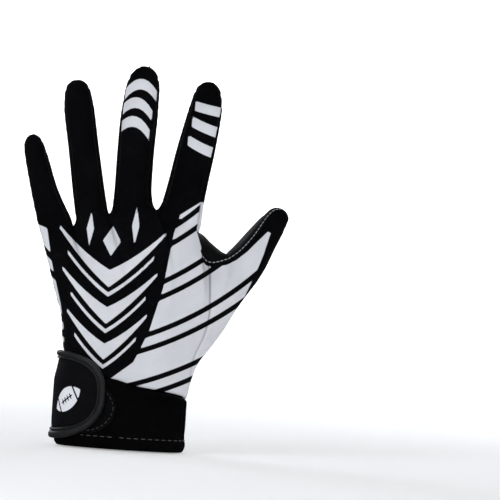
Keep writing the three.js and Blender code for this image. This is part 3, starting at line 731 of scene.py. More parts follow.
def emblem_distance(along, height):
    """A plain ball: a pointed oval, with a seam, laces and stripes left out of it."""
    tilt = math.radians(EMBLEM_TILT)
    x = along - EMBLEM_SHARE * STRAP_LENGTH
    z = height - EMBLEM_Z
    u = x * math.cos(tilt) + z * math.sin(tilt)
    v = z * math.cos(tilt) - x * math.sin(tilt)
    radius = (EMBLEM_HALF_LENGTH**2 + EMBLEM_HALF_HEIGHT**2) / (2 * EMBLEM_HALF_HEIGHT)
    centre = radius - EMBLEM_HALF_HEIGHT
    oval = np.minimum(radius - np.hypot(u, v - centre), radius - np.hypot(u, v + centre))
    gaps = [EMBLEM_SEAM[0] - np.abs(v) + np.minimum(0, EMBLEM_SEAM[1] - np.abs(u))]
    for place in EMBLEM_LACES:
        gaps.append(np.minimum(EMBLEM_LACE[0] - np.abs(u - place), EMBLEM_LACE[1] - np.abs(v)))
    for place in EMBLEM_STRIPES:
        gaps.append(EMBLEM_STRIPE - np.abs(u - place))
    return np.minimum(oval, -np.max(gaps, axis=0))


# The hand's skin


def digit_panel(index, column, row, strip_end):
    """Name of the panel that a digit's face belongs to."""
    right = [web.panel for web in WEBS[:3]] + ["index_side", "thumb_panel"]
    left = [None] + [web.panel for web in WEBS]
    is_thumb = DIGITS[index].name == "thumb"
    back = "thumb_panel" if is_thumb else "back_panel"
    if column < BACK_COLUMNS:
        return back
    on_right = column < PALM_FIRST
    if not on_right and column < PALM_LAST:
        return "palm_panel"
    strip = right[index] if on_right else left[index]
    if strip and (is_thumb or row < strip_end):
        return strip
    return back if column in (BACK_COLUMNS, LEFT_MID) else "palm_panel"


def add_digits(cage):
    """Adds the five digits to the cage and returns their base rings."""
    bases = []
    for index, digit in enumerate(DIGITS):
        rings = digit_rings(digit)
        strip_end = len(rings) - len(CAP_ANGLES)
        girth = [sum((ring[i] - ring[i - 1]).length for i in range(RING_SIZE)) for ring in rings]

        def point_at(column, row):
            return rings[row][column % RING_SIZE]

        def uv_at(column, row):
            centre = (rings[row][RIGHT_MID] + rings[row][LEFT_MID]) / 2
            return centre.x + (column - BACK_COLUMNS / 2) / RING_SIZE * girth[row], centre.z

        def panel_at(column, row):
            return digit_panel(index, column, row, strip_end)

        add_patch(cage, RING_SIZE, len(rings) - 1, point_at, panel_at, uv_at)
        bases.append(rings[0])
    return bases


# A web's lines: the name of its sag, and where it starts and ends on the rings of its two digits.
WEB_LINES = [("seam", BACK_COLUMNS, 0), ("saddle", RIGHT_MID, LEFT_MID), ("palm", PALM_FIRST, PALM_LAST)]


def add_webs(cage, bases):
    """Adds the webs, and returns the body's top edge on the back and on the palm."""
    back_top, palm_top = [], []
    for index, base in enumerate(bases):
        back_top += base[: BACK_COLUMNS + 1]
        palm_top += base[PALM_FIRST : PALM_LAST + 1][::-1]
        if index == len(bases) - 1:
            break
        web = WEBS[index]
        lines = []
        for key, here, there in WEB_LINES:
            start, end = base[here], bases[index + 1][there]
            hung = [start.lerp(end, at.share) - Vector((0, 0, getattr(at, key))) for at in web.places]
            lines.append([start, *hung, end])
        back_top += lines[0][1:-1]
        palm_top += lines[2][1:-1]

        def point_at(column, row):
            return lines[row][column]

        def uv_at(column, row):
            point = lines[row][column]
            return point.x, point.z + point.y

        add_patch(cage, len(web.places) + 1, 2, point_at, lambda column, row: web.panel, uv_at)
    return back_top, palm_top


def body_columns(back_top, palm_top, bases):
    """The body's columns in ring order, each with the panel of the faces that follow it."""
    last = len(back_top) - 1
    seam = last - BACK_COLUMNS - (len(WEBS[3].places) + 1) // 2

    def wrist(i, start, middle, end):
        if i > seam:
            return lerp(middle, end, (i - seam) / (last - seam))
        return lerp(start, middle, i / seam)

    columns = []
    for i, top in enumerate(back_top):
        panel = "back_panel" if i < seam else "thumb_panel"
        columns.append(Column(top, wrist(i, *BACK_WRIST), angle_at_top(top.x, False), panel))
    columns.append(Column(bases[4][RIGHT_MID], (BACK_WRIST[2] + PALM_WRIST[2]) / 2, 90, "thumb_panel"))
    for i in range(last, -1, -1):
        top = palm_top[i]
        columns.append(Column(top, wrist(i, *PALM_WRIST), angle_at_top(top.x, True), "palm_panel"))
    columns.append(Column(bases[0][LEFT_MID], 270, 270, "back_panel"))
    return columns


def add_body(cage, columns):
    size = len(columns)
    shares = [(row / BODY_ROWS) ** ROW_CROWDING for row in range(BODY_ROWS + 1)]
    grid = [[body_point(share, column) for column in columns] for share in shares]
    along = []
    for line in grid:
        lengths = [0.0]
        for i in range(size):
            lengths.append(lengths[-1] + (line[(i + 1) % size] - line[i]).length)
        along.append([value - lengths[MIDDLE_COLUMN] for value in lengths])

    def point_at(column, row):
        return grid[row][column % size]

    def uv_at(column, row):
        return along[row][column], grid[row][column % size].z

    add_patch(cage, size, BODY_ROWS, point_at, lambda column, row: columns[column].panel, uv_at)


# Subdivision draws a cage's corners in. These passes push them out until the skin meets the solids.
LIMIT_PASSES = 3
LIMIT_STEP = 0.9
# How far a panel's edge is drawn back from its neighbours.
PANEL_GAP = 0.08


def smoothed(piece):
    """The piece's mesh with its modifiers applied."""
    bpy.context.view_layer.update()
    evaluated = piece.evaluated_get(bpy.context.evaluated_depsgraph_get())
    return bpy.data.meshes.new_from_object(evaluated)


def build_skin(level):
    """The whole hand's outer skin as one smooth mesh, its panels told apart by material index."""
    cage = bmesh.new()
    bases = add_digits(cage)
    add_body(cage, body_columns(*add_webs(cage, bases), bases))
    weld(cage)
    skin = link_mesh(cage, "skin")
    data = skin.data
    for _ in PANEL_NAMES:
        data.materials.append(None)
    add_modifier(skin, "SUBSURF", levels=level, render_levels=level)
    smooth = smoothed(skin)
    wanted = coordinates(data)
    for _ in range(LIMIT_PASSES):
        reached = coordinates(smooth)[: len(wanted)]
        set_coordinates(data, coordinates(data) + (wanted - reached) * LIMIT_STEP)
        bpy.data.meshes.remove(smooth)
        smooth = smoothed(skin)
    bpy.data.objects.remove(skin)
    return smooth


def seam_distances(skin):
    """Distance of each vertex from the nearest edge of a panel, in metres."""
    mesh = bmesh.new()
    mesh.from_mesh(skin)
    borders = {}
    for edge in mesh.edges:
        if len({face.material_index for face in edge.link_faces}) > 1 or edge.is_boundary:
            for vert in edge.verts:
                borders[vert.index] = vert.co.copy()
            borders[-1 - edge.index] = (edge.verts[0].co + edge.verts[1].co) / 2
    tree = kdtree.KDTree(len(borders))
    for i, co in enumerate(borders.values()):
        tree.insert(co, i)
    tree.balance()
    distances = np.array([tree.find(vert.co)[2] for vert in mesh.verts])
    mesh.free()
    return distances


# The seam that carries the pale topstitch borders these pairs of panels. It lies right of a line, below
# a height, and above a slope that passes through a place.
TOPSTITCHED = [("thumb_panel", "palm_panel"), ("back_panel", "palm_panel")]
TOPSTITCH_LEFT = 40.5
TOPSTITCH_TOP = 151
TOPSTITCH_PLACE = (65, 113)
TOPSTITCH_SLOPE = 1.58


def on_thumb_inside(vert):
    """Whether a point lies along the web or on the thumb's inner side."""
    x, z = vert.co.x / MM, vert.co.z / MM
    slope = TOPSTITCH_PLACE[1] + (x - TOPSTITCH_PLACE[0]) * TOPSTITCH_SLOPE
    return x > TOPSTITCH_LEFT and slope < z < TOPSTITCH_TOP


def topstitch_line(skin):
    """Points and normals, in order, of the seam along the web and the thumb's inner side."""
    wanted = [{PANEL_NAMES.index(name) for name in pair} for pair in TOPSTITCHED]
    mesh = bmesh.new()
    mesh.from_mesh(skin)
    mesh.normal_update()
    beside = {}
    for edge in mesh.edges:
        panels = {face.material_index for face in edge.link_faces}
        if panels in wanted and all(map(on_thumb_inside, edge.verts)):
            first, second = edge.verts
            beside.setdefault(first, []).append(second)
            beside.setdefault(second, []).append(first)
    ends = [vert for vert, others in beside.items() if len(others) == 1]
    here, before, line = min(ends, key=lambda vert: vert.co.x), None, []
    while here:
        line.append((here.co + here.normal * TOPSTITCH_LIFT * MM, here.normal.copy()))
        onward = [vert for vert in beside[here] if vert is not before]
        before, here = here, onward[0] if onward else None
    mesh.free()
    return line


def palm_crinkle(points, weight, height):
    """Crinkles of the coated palm: soft ridges that fade towards the fabric."""
    values = np.zeros(len(points))
    for i in np.nonzero(weight > 0.02)[0]:
        place = Vector(points[i])
        broad = noise.noise(place * 95)
        stretched = noise.noise(Vector((place.x * 60, place.y * 60, place.z * 210)))
        fine = 1 - abs(noise.noise(place * 230 + Vector((3, 7, 1)))) * 2
        values[i] = (0.9 * broad + 0.8 * stretched + 0.35 * fine) * height * weight[i]
    return values


# Puckers beside the seams: their height, how far from the seam they are, and how far they reach.
PUCKER_HEIGHT = 0.00009
PUCKER_PLACE = 2.2e-3
PUCKER_REACH = 1.4e-3
PUCKER_WAVES = np.array([900.0, 700.0, 1100.0])


def dress_skin(skin, sizes):
    """Pulls the seams in and lays the fine folds on the skin."""
    points = coordinates(skin)
    normals = np.array([vert.normal[:] for vert in skin.vertices])
    distances = seam_distances(skin)
    x, z = points[:, 0] / MM, points[:, 2] / MM
    height = fold_height(FINE_FOLDS["back"], x, z) * MM * np.clip(-normals[:, 1], 0, 1) ** 0.5
    height += fold_height(FINE_FOLDS["palm"], x, z) * MM * np.clip(normals[:, 1], 0, 1) ** 0.5
    inland = 1 - np.exp(-((distances / (3 * sizes.seam_width)) ** 2))
    height *= inland
    coated = np.zeros(len(points))
    for face in skin.polygons:
        if PANEL_NAMES[face.material_index] == "palm_panel":
            coated[list(face.vertices)] = 1
    facing = np.clip(normals[:, 1] * 1.6 + 0.15, 0, 1)
    height += palm_crinkle(points, coated * inland * facing, sizes.crinkle)
    beside = np.exp(-(((distances - PUCKER_PLACE) / PUCKER_REACH) ** 2))
    height += PUCKER_HEIGHT * np.sin(points @ PUCKER_WAVES) * beside
    height -= sizes.seam_depth * np.exp(-((distances / sizes.seam_width) ** 2))
    set_attribute(skin, "seam", distances / MM)
    set_attribute(skin, "gloss", np.clip(normals[:, 1] * 1.5 - 0.35, 0, 1))
    set_coordinates(skin, points + normals * height[:, None])


def split_panel(skin, index):
    """The faces of one panel, its edge drawn back a little from its neighbours."""
    mesh = bmesh.new()
    mesh.from_mesh(skin)
    others = [face for face in mesh.faces if face.material_index != index]
    bmesh.ops.delete(mesh, geom=others, context="FACES")
    moves = {}
    for vert in mesh.verts:
        if vert.is_boundary:
            centres = [face.calc_center_median() for face in vert.link_faces]
            inland = sum(centres, Vector()) / len(centres)
            moves[vert] = (inland - vert.co).normalized() * PANEL_GAP * MM
    for vert, move in moves.items():
        vert.co += move
    for face in mesh.faces:
        face.material_index = 0
    return mesh


# Materials


class Nodes:
    """A short way to place and link the nodes of one tree."""

    def __init__(self, tree):
        self.tree = tree

    def fill(self, node, inputs):
        """Links each input of a node to a socket, or gives it a value."""
        for key, value in inputs.items():
            socket = node.inputs[key]
            if isinstance(value, bpy.types.NodeSocket):
                self.tree.links.new(value, socket)
            else:
                socket.default_value = value

    def add(self, kind, inputs=None, **values):
        node = self.tree.nodes.new(kind)
        for key, value in values.items():
            setattr(node, key, value)
        self.fill(node, inputs or {})
        return node

    def math(self, operation, first, second=0.0):
        return self.add("ShaderNodeMath", {0: first, 1: second}, operation=operation).outputs[0]

    def mix(self, factor, first, second):
        return self.add("ShaderNodeMix", {0: factor, 6: first, 7: second}, data_type="RGBA").outputs[2]

    def tones(self, factor, colour, low, high):
        """A colour between its low and its high share."""
        return self.mix(factor, rgba(colour, low), rgba(colour, high))

    def span(self, value, low, high, new_low=0.0, new_high=1.0):
        keys = {"Value": value, "From Min": low, "From Max": high, "To Min": new_low, "To Max": new_high}
        return self.add("ShaderNodeMapRange", keys).outputs[0]

    def place(self):
        return self.add("ShaderNodeTexCoord").outputs["Object"]

    def noise(self, **inputs):
        """Noise in the object's own space."""
        keys = {"Vector": self.place(), **{key.title(): value for key, value in inputs.items()}}
        return self.add("ShaderNodeTexNoise", keys).outputs[0]


class Surface(Nodes):
    """A new material, with the inputs that most of the glove's materials share."""

    def __init__(self, name, **inputs):
        self.material = bpy.data.materials.new(name)
        self.material.use_nodes = True
        super().__init__(self.material.node_tree)
        self.shade(**inputs)

    def shade(self, **inputs):
        """Fills inputs of the material's shader, which are named here in lower case."""
        keys = {key.replace("_", " ").title().replace("Ior", "IOR"): value for key, value in inputs.items()}
        self.fill(self.tree.nodes["Principled BSDF"], keys)

    def carried(self, name):
        """A number that each vertex carries."""
        return self.add("ShaderNodeAttribute", attribute_name=name).outputs["Fac"]

    def grouped(self, name, inputs):
        return self.add("ShaderNodeGroup", inputs, node_tree=shared_group(name)).outputs

    def weave(self, stitches=1150.0):
        """The knit's height and shadow."""
        cloth = self.add("ShaderNodeUVMap", uv_map="cloth").outputs[0]
        return self.grouped("Knit", {"Vector": cloth, "Stitches per metre": stitches})

    def tone(self, scale=45.0):
        """The uneven tone from handling, and its grain."""
        return self.grouped("Handling", {"Scale": scale})

    def finish(self, height, distance, strength):
        bump = self.add("ShaderNodeBump", {"Height": height, "Distance": distance, "Strength": strength})
        self.shade(normal=bump.outputs[0])
        return self.material


def rgba(colour, factor=1.0):
    return (*[channel * factor for channel in colour], 1.0)


def fill_knit(n, source):
    """Columns of small V stitches: a height, and a mask of the stitches' shadows."""
    scaled = n.add("ShaderNodeVectorMath", {0: source[0], 1: source[1]}, operation="MULTIPLY")
    parts = n.add("ShaderNodeSeparateXYZ", {0: scaled.outputs[0]})
    across = n.math("PINGPONG", parts.outputs[0], 0.5)
    slanted = n.math("ADD", parts.outputs[1], n.math("MULTIPLY", across, 1.4))
    rows = n.math("SINE", n.math("MULTIPLY", slanted, 2 * math.pi))
    columns = n.math("SINE", n.math("MULTIPLY", across, 2 * math.pi))
    height = n.math("MULTIPLY", n.math("ADD", n.math("MULTIPLY", rows, 0.5), 0.5), columns)
    return {0: height, 1: n.span(height, 0.0, 0.45, 1.0, 0.0)}


def fill_handling(n, source):
    """Soft uneven tone from handling: broad cloudy variation with a finer grain in it."""
    return {0: n.noise(scale=source[0], detail=4.0), 1: n.noise(scale=2600.0, detail=2.0)}


# The shared node groups: the function that fills each, its inputs and its outputs.
GROUPS = {
    "Knit": (fill_knit, {"Vector": "Vector", "Stitches per metre": "Float"}, ("Height", "Shadow")),
    "Handling": (fill_handling, {"Scale": "Float"}, ("Tone", "Grain")),
}


def shared_group(name):
    """A node group that the materials share, built once."""
    if name in bpy.data.node_groups:
        return bpy.data.node_groups[name]
    fill, inputs, outputs = GROUPS[name]
    group = bpy.data.node_groups.new(name, "ShaderNodeTree")
    for label, kind in inputs.items():
        group.interface.new_socket(label, in_out="INPUT", socket_type="NodeSocket" + kind)
    for label in outputs:
        group.interface.new_socket(label, in_out="OUTPUT", socket_type="NodeSocketFloat")
    nodes = Nodes(group)
    results = fill(nodes, nodes.add("NodeGroupInput").outputs)
    nodes.add("NodeGroupOutput", results)
    return group


def printed_fabric(colours):
    """Stretch knit with the print, which is a distance that each vertex carries."""
    n = Surface("printed_stretch_knit", specular_ior_level=0.035, sheen_weight=0.006)
    weave, tone = n.weave(), n.tone()
    rough_edge = n.math("ADD", n.carried("print"), n.span(tone[1], 0.3, 0.7, -0.09, 0.09))
    ink = n.span(rough_edge, -0.14, 0.14)
    near_seam = n.span(n.carried("seam"), 0.0, 1.1, 1.0, 0.0)
    black = n.tones(n.span(tone[0], 0.35, 0.7), colours.black, 0.75, 1.35)
    white = n.tones(n.span(tone[0], 0.3, 0.75), colours.white, 0.93, 1.05)
    white = n.mix(n.math("MULTIPLY", weave[1], 0.22), white, rgba(colours.white, 0.62))
    white = n.mix(n.math("MULTIPLY", near_seam, 0.45), white, rgba(colours.white, 0.45))
    n.shade(base_color=n.mix(ink, black, white), roughness=n.span(ink, 0.0, 1.0, 0.78, 0.6))
    return n.finish(n.math("ADD", weave[0], n.math("MULTIPLY", ink, 0.25)), 0.00016, 0.7)


def plain_fabric(name, colour, roughness, distance=0.00015, stitches=1150.0):
    n = Surface(name, specular_ior_level=0.03, sheen_weight=0.004)
    weave, tone = n.weave(stitches), n.tone()
    mixed = n.tones(n.span(tone[0], 0.35, 0.7), colour, 0.7, 1.4)
    shaded = n.mix(n.math("MULTIPLY", weave[1], 0.3), mixed, rgba(colour, 0.4))
    n.shade(base_color=shaded, roughness=n.span(tone[0], 0.3, 0.7, roughness - 0.06, roughness + 0.08))
    return n.finish(weave[0], distance, 0.8)


def coated_fabric(colours):
    """The grip coating: a glossy skin over the knit, which shows through a little."""
    n = Surface("grip_coating", coat_roughness=0.06)
    weave, tone, gloss = n.weave(900.0), n.tone(70.0), n.carried("gloss")
    smooth = n.span(tone[0], 0.3, 0.72, 0.12, 0.28)
    n.shade(
        base_color=n.tones(n.span(tone[0], 0.3, 0.7), colours.coating, 0.6, 1.7),
        roughness=n.math("ADD", smooth, n.span(gloss, 0.0, 0.7, 0.35, 0.0)),
        specular_ior_level=n.span(gloss, 0.0, 1.0, 0.12, 0.42),
        coat_weight=n.span(gloss, 0.1, 0.9, 0.0, 0.6),
    )
    ripple = n.math("MULTIPLY", n.noise(scale=320.0, detail=5.0, roughness=0.55), 2.4)
    return n.finish(n.math("ADD", ripple, n.math("MULTIPLY", weave[0], 0.22)), 0.00028, 0.8)


def moulded_rubber(colours):
    n = Surface("moulded_edge", specular_ior_level=0.42)
    tone = n.tone(160.0)
    colour = n.tones(tone[0], colours.rubber, 0.75, 1.3)
    n.shade(base_color=colour, roughness=n.span(tone[0], 0.3, 0.7, 0.4, 0.56))
    return n.finish(tone[1], 0.00005, 0.5)


def strap_fabric(colours):
    """The strap's face, with a plain printed ball."""
    n = Surface("strap_face", specular_ior_level=0.07, sheen_weight=0.01)
    weave, tone = n.weave(1300.0), n.tone()
    ink = n.span(n.carried("print"), -0.1, 0.1)
    colour = n.mix(ink, n.tones(tone[0], colours.black, 1.1, 2.1), rgba(colours.white, 1.08))
    n.shade(base_color=colour, roughness=n.span(ink, 0.0, 1.0, 0.78, 0.5))
    return n.finish(n.math("ADD", weave[0], n.math("MULTIPLY", ink, 0.8)), 0.00014, 0.7)


def pile_fabric(colours):
    """Brushed loops, seen as a fine fuzz."""
    n = Surface("loop_pile", specular_ior_level=0.1, sheen_weight=0.04, roughness=0.95)
    fuzz = n.noise(scale=1500.0, detail=6.0, roughness=0.7)
    n.shade(base_color=n.tones(fuzz, colours.black, 0.3, 1.2))
    return n.finish(fuzz, 0.0005, 0.9)


def thread_material(name, colour, factor=1.0):
    """Twisted thread: a fine slanted ripple."""
    n = Surface(name, roughness=0.55, sheen_weight=0.15)
    keys = {"Vector": n.place(), "Scale": 700.0, "Distortion": 1.0}
    twist = n.add("ShaderNodeTexWave", keys, bands_direction="DIAGONAL").outputs[1]
    n.shade(base_color=n.tones(twist, [factor * channel for channel in colour], 0.7, 1.2))
    return n.finish(twist, 0.00005, 0.6)


# Stitches


def lay_stitches(line, length, gap, radius):
    """Short rounded stitches along a line of points and normals, in metres."""
    mesh = bmesh.new()
    travelled = [0.0]
    for (a, _), (b, _) in zip(line, line[1:]):
        travelled.append(travelled[-1] + (b - a).length)
    place = gap / 2
    segment = 0
    while place + length < travelled[-1]:
        middle = place + length / 2
        while travelled[segment + 1] < middle:
            segment += 1
        (a, na), (b, nb) = line[segment], line[segment + 1]
        t = (middle - travelled[segment]) / (travelled[segment + 1] - travelled[segment])
        along = (b - a).normalized()
        side = along.cross(na.lerp(nb, t).normalized()).normalized()
        pose = Matrix((along, side, side.cross(along))).transposed().to_4x4()
        pose.translation = a.lerp(b, t)
        scale = Matrix.Diagonal((length / 2, radius, radius, 1))
        bmesh.ops.create_icosphere(mesh, subdivisions=1, radius=1, matrix=pose @ scale)
        place += length + gap
    return mesh


def wrist_line(places, outside):
    """Points and outward normals round the wrist, at pairs of angle and height."""
    line = []
    for angle, height in places:
        point = wrist_point(angle, height, outside)
        line.append((point * MM, (wrist_point(angle, height, outside + 1) - point).normalized()))
    return line


# Cuff, strap and patch


def cuff_relief(angle, height):
    """Soft unevenness of the neoprene, and the grooves of its side seams."""
    turn = math.radians(angle)
    place = Vector((math.sin(turn) * 1.6, -math.cos(turn) * 1.6, height * 0.045))
    relief = 0.45 * noise.noise(place) + 0.22 * noise.noise(place * 3 + Vector((5, 1, 2)))
    for seam in SIDE_SEAMS:
        distance = abs((angle - seam + 180) % 360 - 180)
        relief -= 0.7 * math.exp(-((distance / 2.1) ** 2))
        relief += 0.18 * math.exp(-(((distance - 5.0) / 2.6) ** 2))
    return relief


def cuff_point(column, row):
    """A point of the cuff, in its hem or at a share of the way from the hem to the top."""
    angle = 360 * column / CUFF_COLUMNS
    if row < len(HEM):
        height, outside = HEM[row]
        fade = smoothstep(height, 0, 3)
    else:
        share = (row - len(HEM) + 1) / (CUFF_ROWS - len(HEM) + 1)
        height = lerp(HEM[-1].height, cuff_seam_height(angle) - CUFF_TOP_GAP, share)
        outside = -CUFF_TOP_TUCK * smoothstep(share, 0.93, 1)
        fade = 1 - smoothstep(share, 0.86, 1)
    outside += cuff_relief(angle, height) * fade
    straight = min(height, CUFF_STRAIGHT_HEIGHT)
    return wrist_point(angle, straight, outside) + Vector((0, 0, height - straight))


def tab_place(column, row, grid):
    """A grid corner's share along a rounded tab, its side from -1 to 1, and how near the rim it is."""
    side = row / grid[1] * 2 - 1
    return math.sin(math.pi / 2 * column / grid[0]) * TAB_END, side, max(abs(side), column / grid[0])


def tab_edge(steps):
    """Shares along a tab and its sides, on the way round its rim from its top root."""
    turns = [lerp(-1, 1, i / steps) for i in range(steps + 1)]
    return [(math.cos(math.pi / 2 * turn), (turn < 0) - (turn > 0)) for turn in turns]


def strap_height(share, side, margin):
    """Height of a line along the strap: side is 1 on its top edge and -1 on its bottom edge."""
    edge = STRAP_SIDES[side > 0]
    along = max(0, (share - STRAP_STRAIGHT) / (1 - STRAP_STRAIGHT))
    reach = max(0, 1 - along**edge.roundness) ** (1 / edge.roundness)
    return STRAP_MIDDLE + side * reach * (edge.half - margin)


def binding_width(share, side):
    """Width of the moulded edge, which broadens towards the root on the bottom side."""
    return lerp(STRAP_SIDES[side > 0].binding_at_root, BINDING_WIDTH, smoothstep(share, *BINDING_TAPER))


def strap_point(share, height, outside):
    angle = lerp(STRAP_ROOT_ANGLE, STRAP_END_ANGLE, share)
    lift = lerp(STRAP_LIFT, STRAP_LIFT_AT_TOP, smoothstep(height, *STRAP_LIFT_HEIGHTS))
    lift = lerp(STRAP_LIFT_AT_ROOT, lift, smoothstep(share, *STRAP_LIFT_SHARES))
    return wrist_point(angle, height, lift + outside)


def binding_frames():
    """The binding's middle line, with its directions sideways and outwards and its width."""
    reach = 1 - BINDING_WIDTH / 2 / STRAP_LENGTH
    nodes = []
    for share, side in tab_edge(BINDING_STEPS):
        width = binding_width(share, side)
        nodes.append((share * reach, strap_height(share, side, width / 2), width))
    path = [strap_point(share, height, 0) for share, height, _ in nodes]
    frames = []
    for i, (share, height, width) in enumerate(nodes):
        outward = (strap_point(share, height, 1) - path[i]).normalized()
        along = (path[min(i + 1, len(path) - 1)] - path[max(i - 1, 0)]).normalized()
        frames.append((path[i], outward.cross(along).normalized(), outward, width))
    return frames


def strap_face_piece(colours):
    reach = 1 - (BINDING_WIDTH - BINDING_OVERLAP) / STRAP_LENGTH

    def place(column, row):
        share, side, rim = tab_place(column, row, STRAP_GRID)
        height = strap_height(share, side, binding_width(share, side) - BINDING_OVERLAP)
        return share * reach, height, STRAP_WALL + (STRAP_CROWN * (1 - rim**6) - STRAP_SINK)

    def uv_at(column, row):
        share, height, _ = place(column, row)
        return share * STRAP_LENGTH, height

    mesh = patch_mesh(*STRAP_GRID, lambda column, row: strap_point(*place(column, row)), uv_at)
    piece = finish_cloth(mesh, "strap_face", "strap", strap_fabric(colours), wall=STRAP_WALL * MM)
    points = coordinates(piece.data) / MM
    angle = np.degrees(np.arctan2(points[:, 0] / CUFF_HALF_WIDTH, -points[:, 1] / CUFF_HALF_DEPTH))
    along = (angle - STRAP_ROOT_ANGLE) / (STRAP_END_ANGLE - STRAP_ROOT_ANGLE) * STRAP_LENGTH
    set_attribute(piece.data, "print", emblem_distance(along, points[:, 2]))
    return piece


def binding_piece(colours):
    frames = binding_frames()

    def point_at(column, row):
        point, sideways, outward, width = frames[row]
        side, rise = BINDING_SECTION[column % len(BINDING_SECTION)]
        return point + sideways * side * width / 2 + outward * rise * BINDING_HEIGHT

    mesh = patch_mesh(len(BINDING_SECTION), BINDING_STEPS, point_at)
    bmesh.ops.holes_fill(mesh, edges=[edge for edge in mesh.edges if edge.is_boundary], sides=0)
    bmesh.ops.recalc_face_normals(mesh, faces=mesh.faces)
    finish_piece(mesh, "strap_edge", "strap_rubber", "strap_binding", moulded_rubber(colours), level=1)


def patch_half_height(share):
    return PATCH_HALF_HEIGHT * max(0, 1 - max(0, (share - 0.5) / 0.5) ** PATCH_ROUNDNESS) ** 0.5


def patch_piece(colours):
    def point_at(column, row):
        share, side, rim = tab_place(column, row, PATCH_GRID)
        angle = lerp(PATCH_START_ANGLE, PATCH_END_ANGLE, share)
        height = PATCH_MIDDLE + side * patch_half_height(share)
        ragged = PATCH_RAGGED * noise.noise(Vector((column * 0.9, row * 0.9, 0.3)))
        return wrist_point(angle, height, PATCH_CLEARANCE + PATCH_WALL - PATCH_RIM_DROP * rim**14 + ragged)

    mesh = patch_mesh(*PATCH_GRID, point_at)
    return finish_cloth(mesh, "loop_pile_patch", "loop_patch", pile_fabric(colours), wall=PATCH_WALL * MM)


# Operators


class GLOVE_OT_panels(bpy.types.Operator):
    """Model the sewn panels of the hand, and the pale thread along the thumb's inner seam"""

    bl_idname = "glove.panels"
    bl_label = "Hand panels"

    def execute(self, context):
        sizes, colours = context.scene.glove_sizes, context.scene.glove_colours
        skin = build_skin(sizes.smoothness)
        dress_skin(skin, sizes)
        printed = printed_fabric(colours)
        coated = coated_fabric(colours)
        lining = plain_fabric("lining", colours.black, 0.85)
        for index, name in enumerate(PANEL_NAMES):
            outer = coated if name == "palm_panel" else printed
            mesh = split_panel(skin, index)
            label = name.replace("_panel", "") + "_cloth"
            piece = finish_cloth(mesh, label, name, outer, lining, wall=sizes.fabric_wall)
            points = coordinates(piece.data) / MM
            distance = print_distance(points[:, 0], points[:, 2])
            if name == "index_side":
                distance = INDEX_SIDE_WHITE_TOP - points[:, 2]
            if name.startswith("fourchette"):
                distance = np.full(len(points), UNPRINTED)
            set_attribute(piece.data, "print", distance)
        mesh = lay_stitches(topstitch_line(skin), *TOPSTITCH)
        thread = thread_material("pale_thread", colours.white, 0.6)
        finish_piece(mesh, "thumb_topstitch", "thumb_fabric", None, thread)
        bpy.data.meshes.remove(skin)
        return {"FINISHED"}


class GLOVE_OT_cuff(bpy.types.Operator):
    """Model the neoprene cuff with its hem"""

    bl_idname = "glove.cuff"
    bl_label = "Cuff"

    def execute(self, context):
        girth = 2 * math.pi * math.sqrt((CUFF_HALF_WIDTH**2 + CUFF_HALF_DEPTH**2) / 2)

        def uv_at(column, row):
            return column / CUFF_COLUMNS * girth, cuff_point(column, row).z

        mesh = patch_mesh(CUFF_COLUMNS, CUFF_ROWS, cuff_point, uv_at)
        neoprene = plain_fabric("neoprene", context.scene.glove_colours.neoprene, 0.7, 0.00012, 1500.0)
        piece = finish_cloth(mesh, "cuff_tube", "cuff", neoprene, wall=CUFF_WALL * MM, level=1)
        return {"FINISHED"}


class GLOVE_OT_strap(bpy.types.Operator):
    """Model the strap, its moulded edge and the pile patch"""

    bl_idname = "glove.strap"
    bl_label = "Strap"

    def execute(self, context):
        colours = context.scene.glove_colours
        face = strap_face_piece(colours)
        binding_piece(colours)
        patch = patch_piece(colours)
        return {"FINISHED"}


class GLOVE_OT_stitches(bpy.types.Operator):
    """Lay the stitches of the hem and of the patch"""

    bl_idname = "glove.stitches"
    bl_label = "Stitches"

    def execute(self, context):
        thread = context.scene.glove_colours.thread
        hem = [(360 * i / HEM_STEPS, HEM_HEIGHT) for i in range(HEM_STEPS + 1)]
        mesh = lay_stitches(wrist_line(hem, HEM_STITCH_LIFT), *HEM_STITCH)
        finish_piece(mesh, "hem_stitches", "cuff_neoprene", None, thread_material("hem_thread", thread))
        edge = []
        for share, side in tab_edge(PATCH_STEPS):
            inset = PATCH_STITCH_INSET * (share > 0.02)
            angle = lerp(PATCH_START_ANGLE, PATCH_END_ANGLE - PATCH_STITCH_END, share)
            edge.append((angle, PATCH_MIDDLE + side * (patch_half_height(share) - inset)))
        outside = PATCH_CLEARANCE + PATCH_WALL + PATCH_STITCH_LIFT
        mesh = lay_stitches(wrist_line(edge, outside), *PATCH_STITCH)
        material = thread_material("patch_thread", thread, 0.6)
        finish_piece(mesh, "patch_stitches", "loop_pile", None, material)
        return {"FINISHED"}


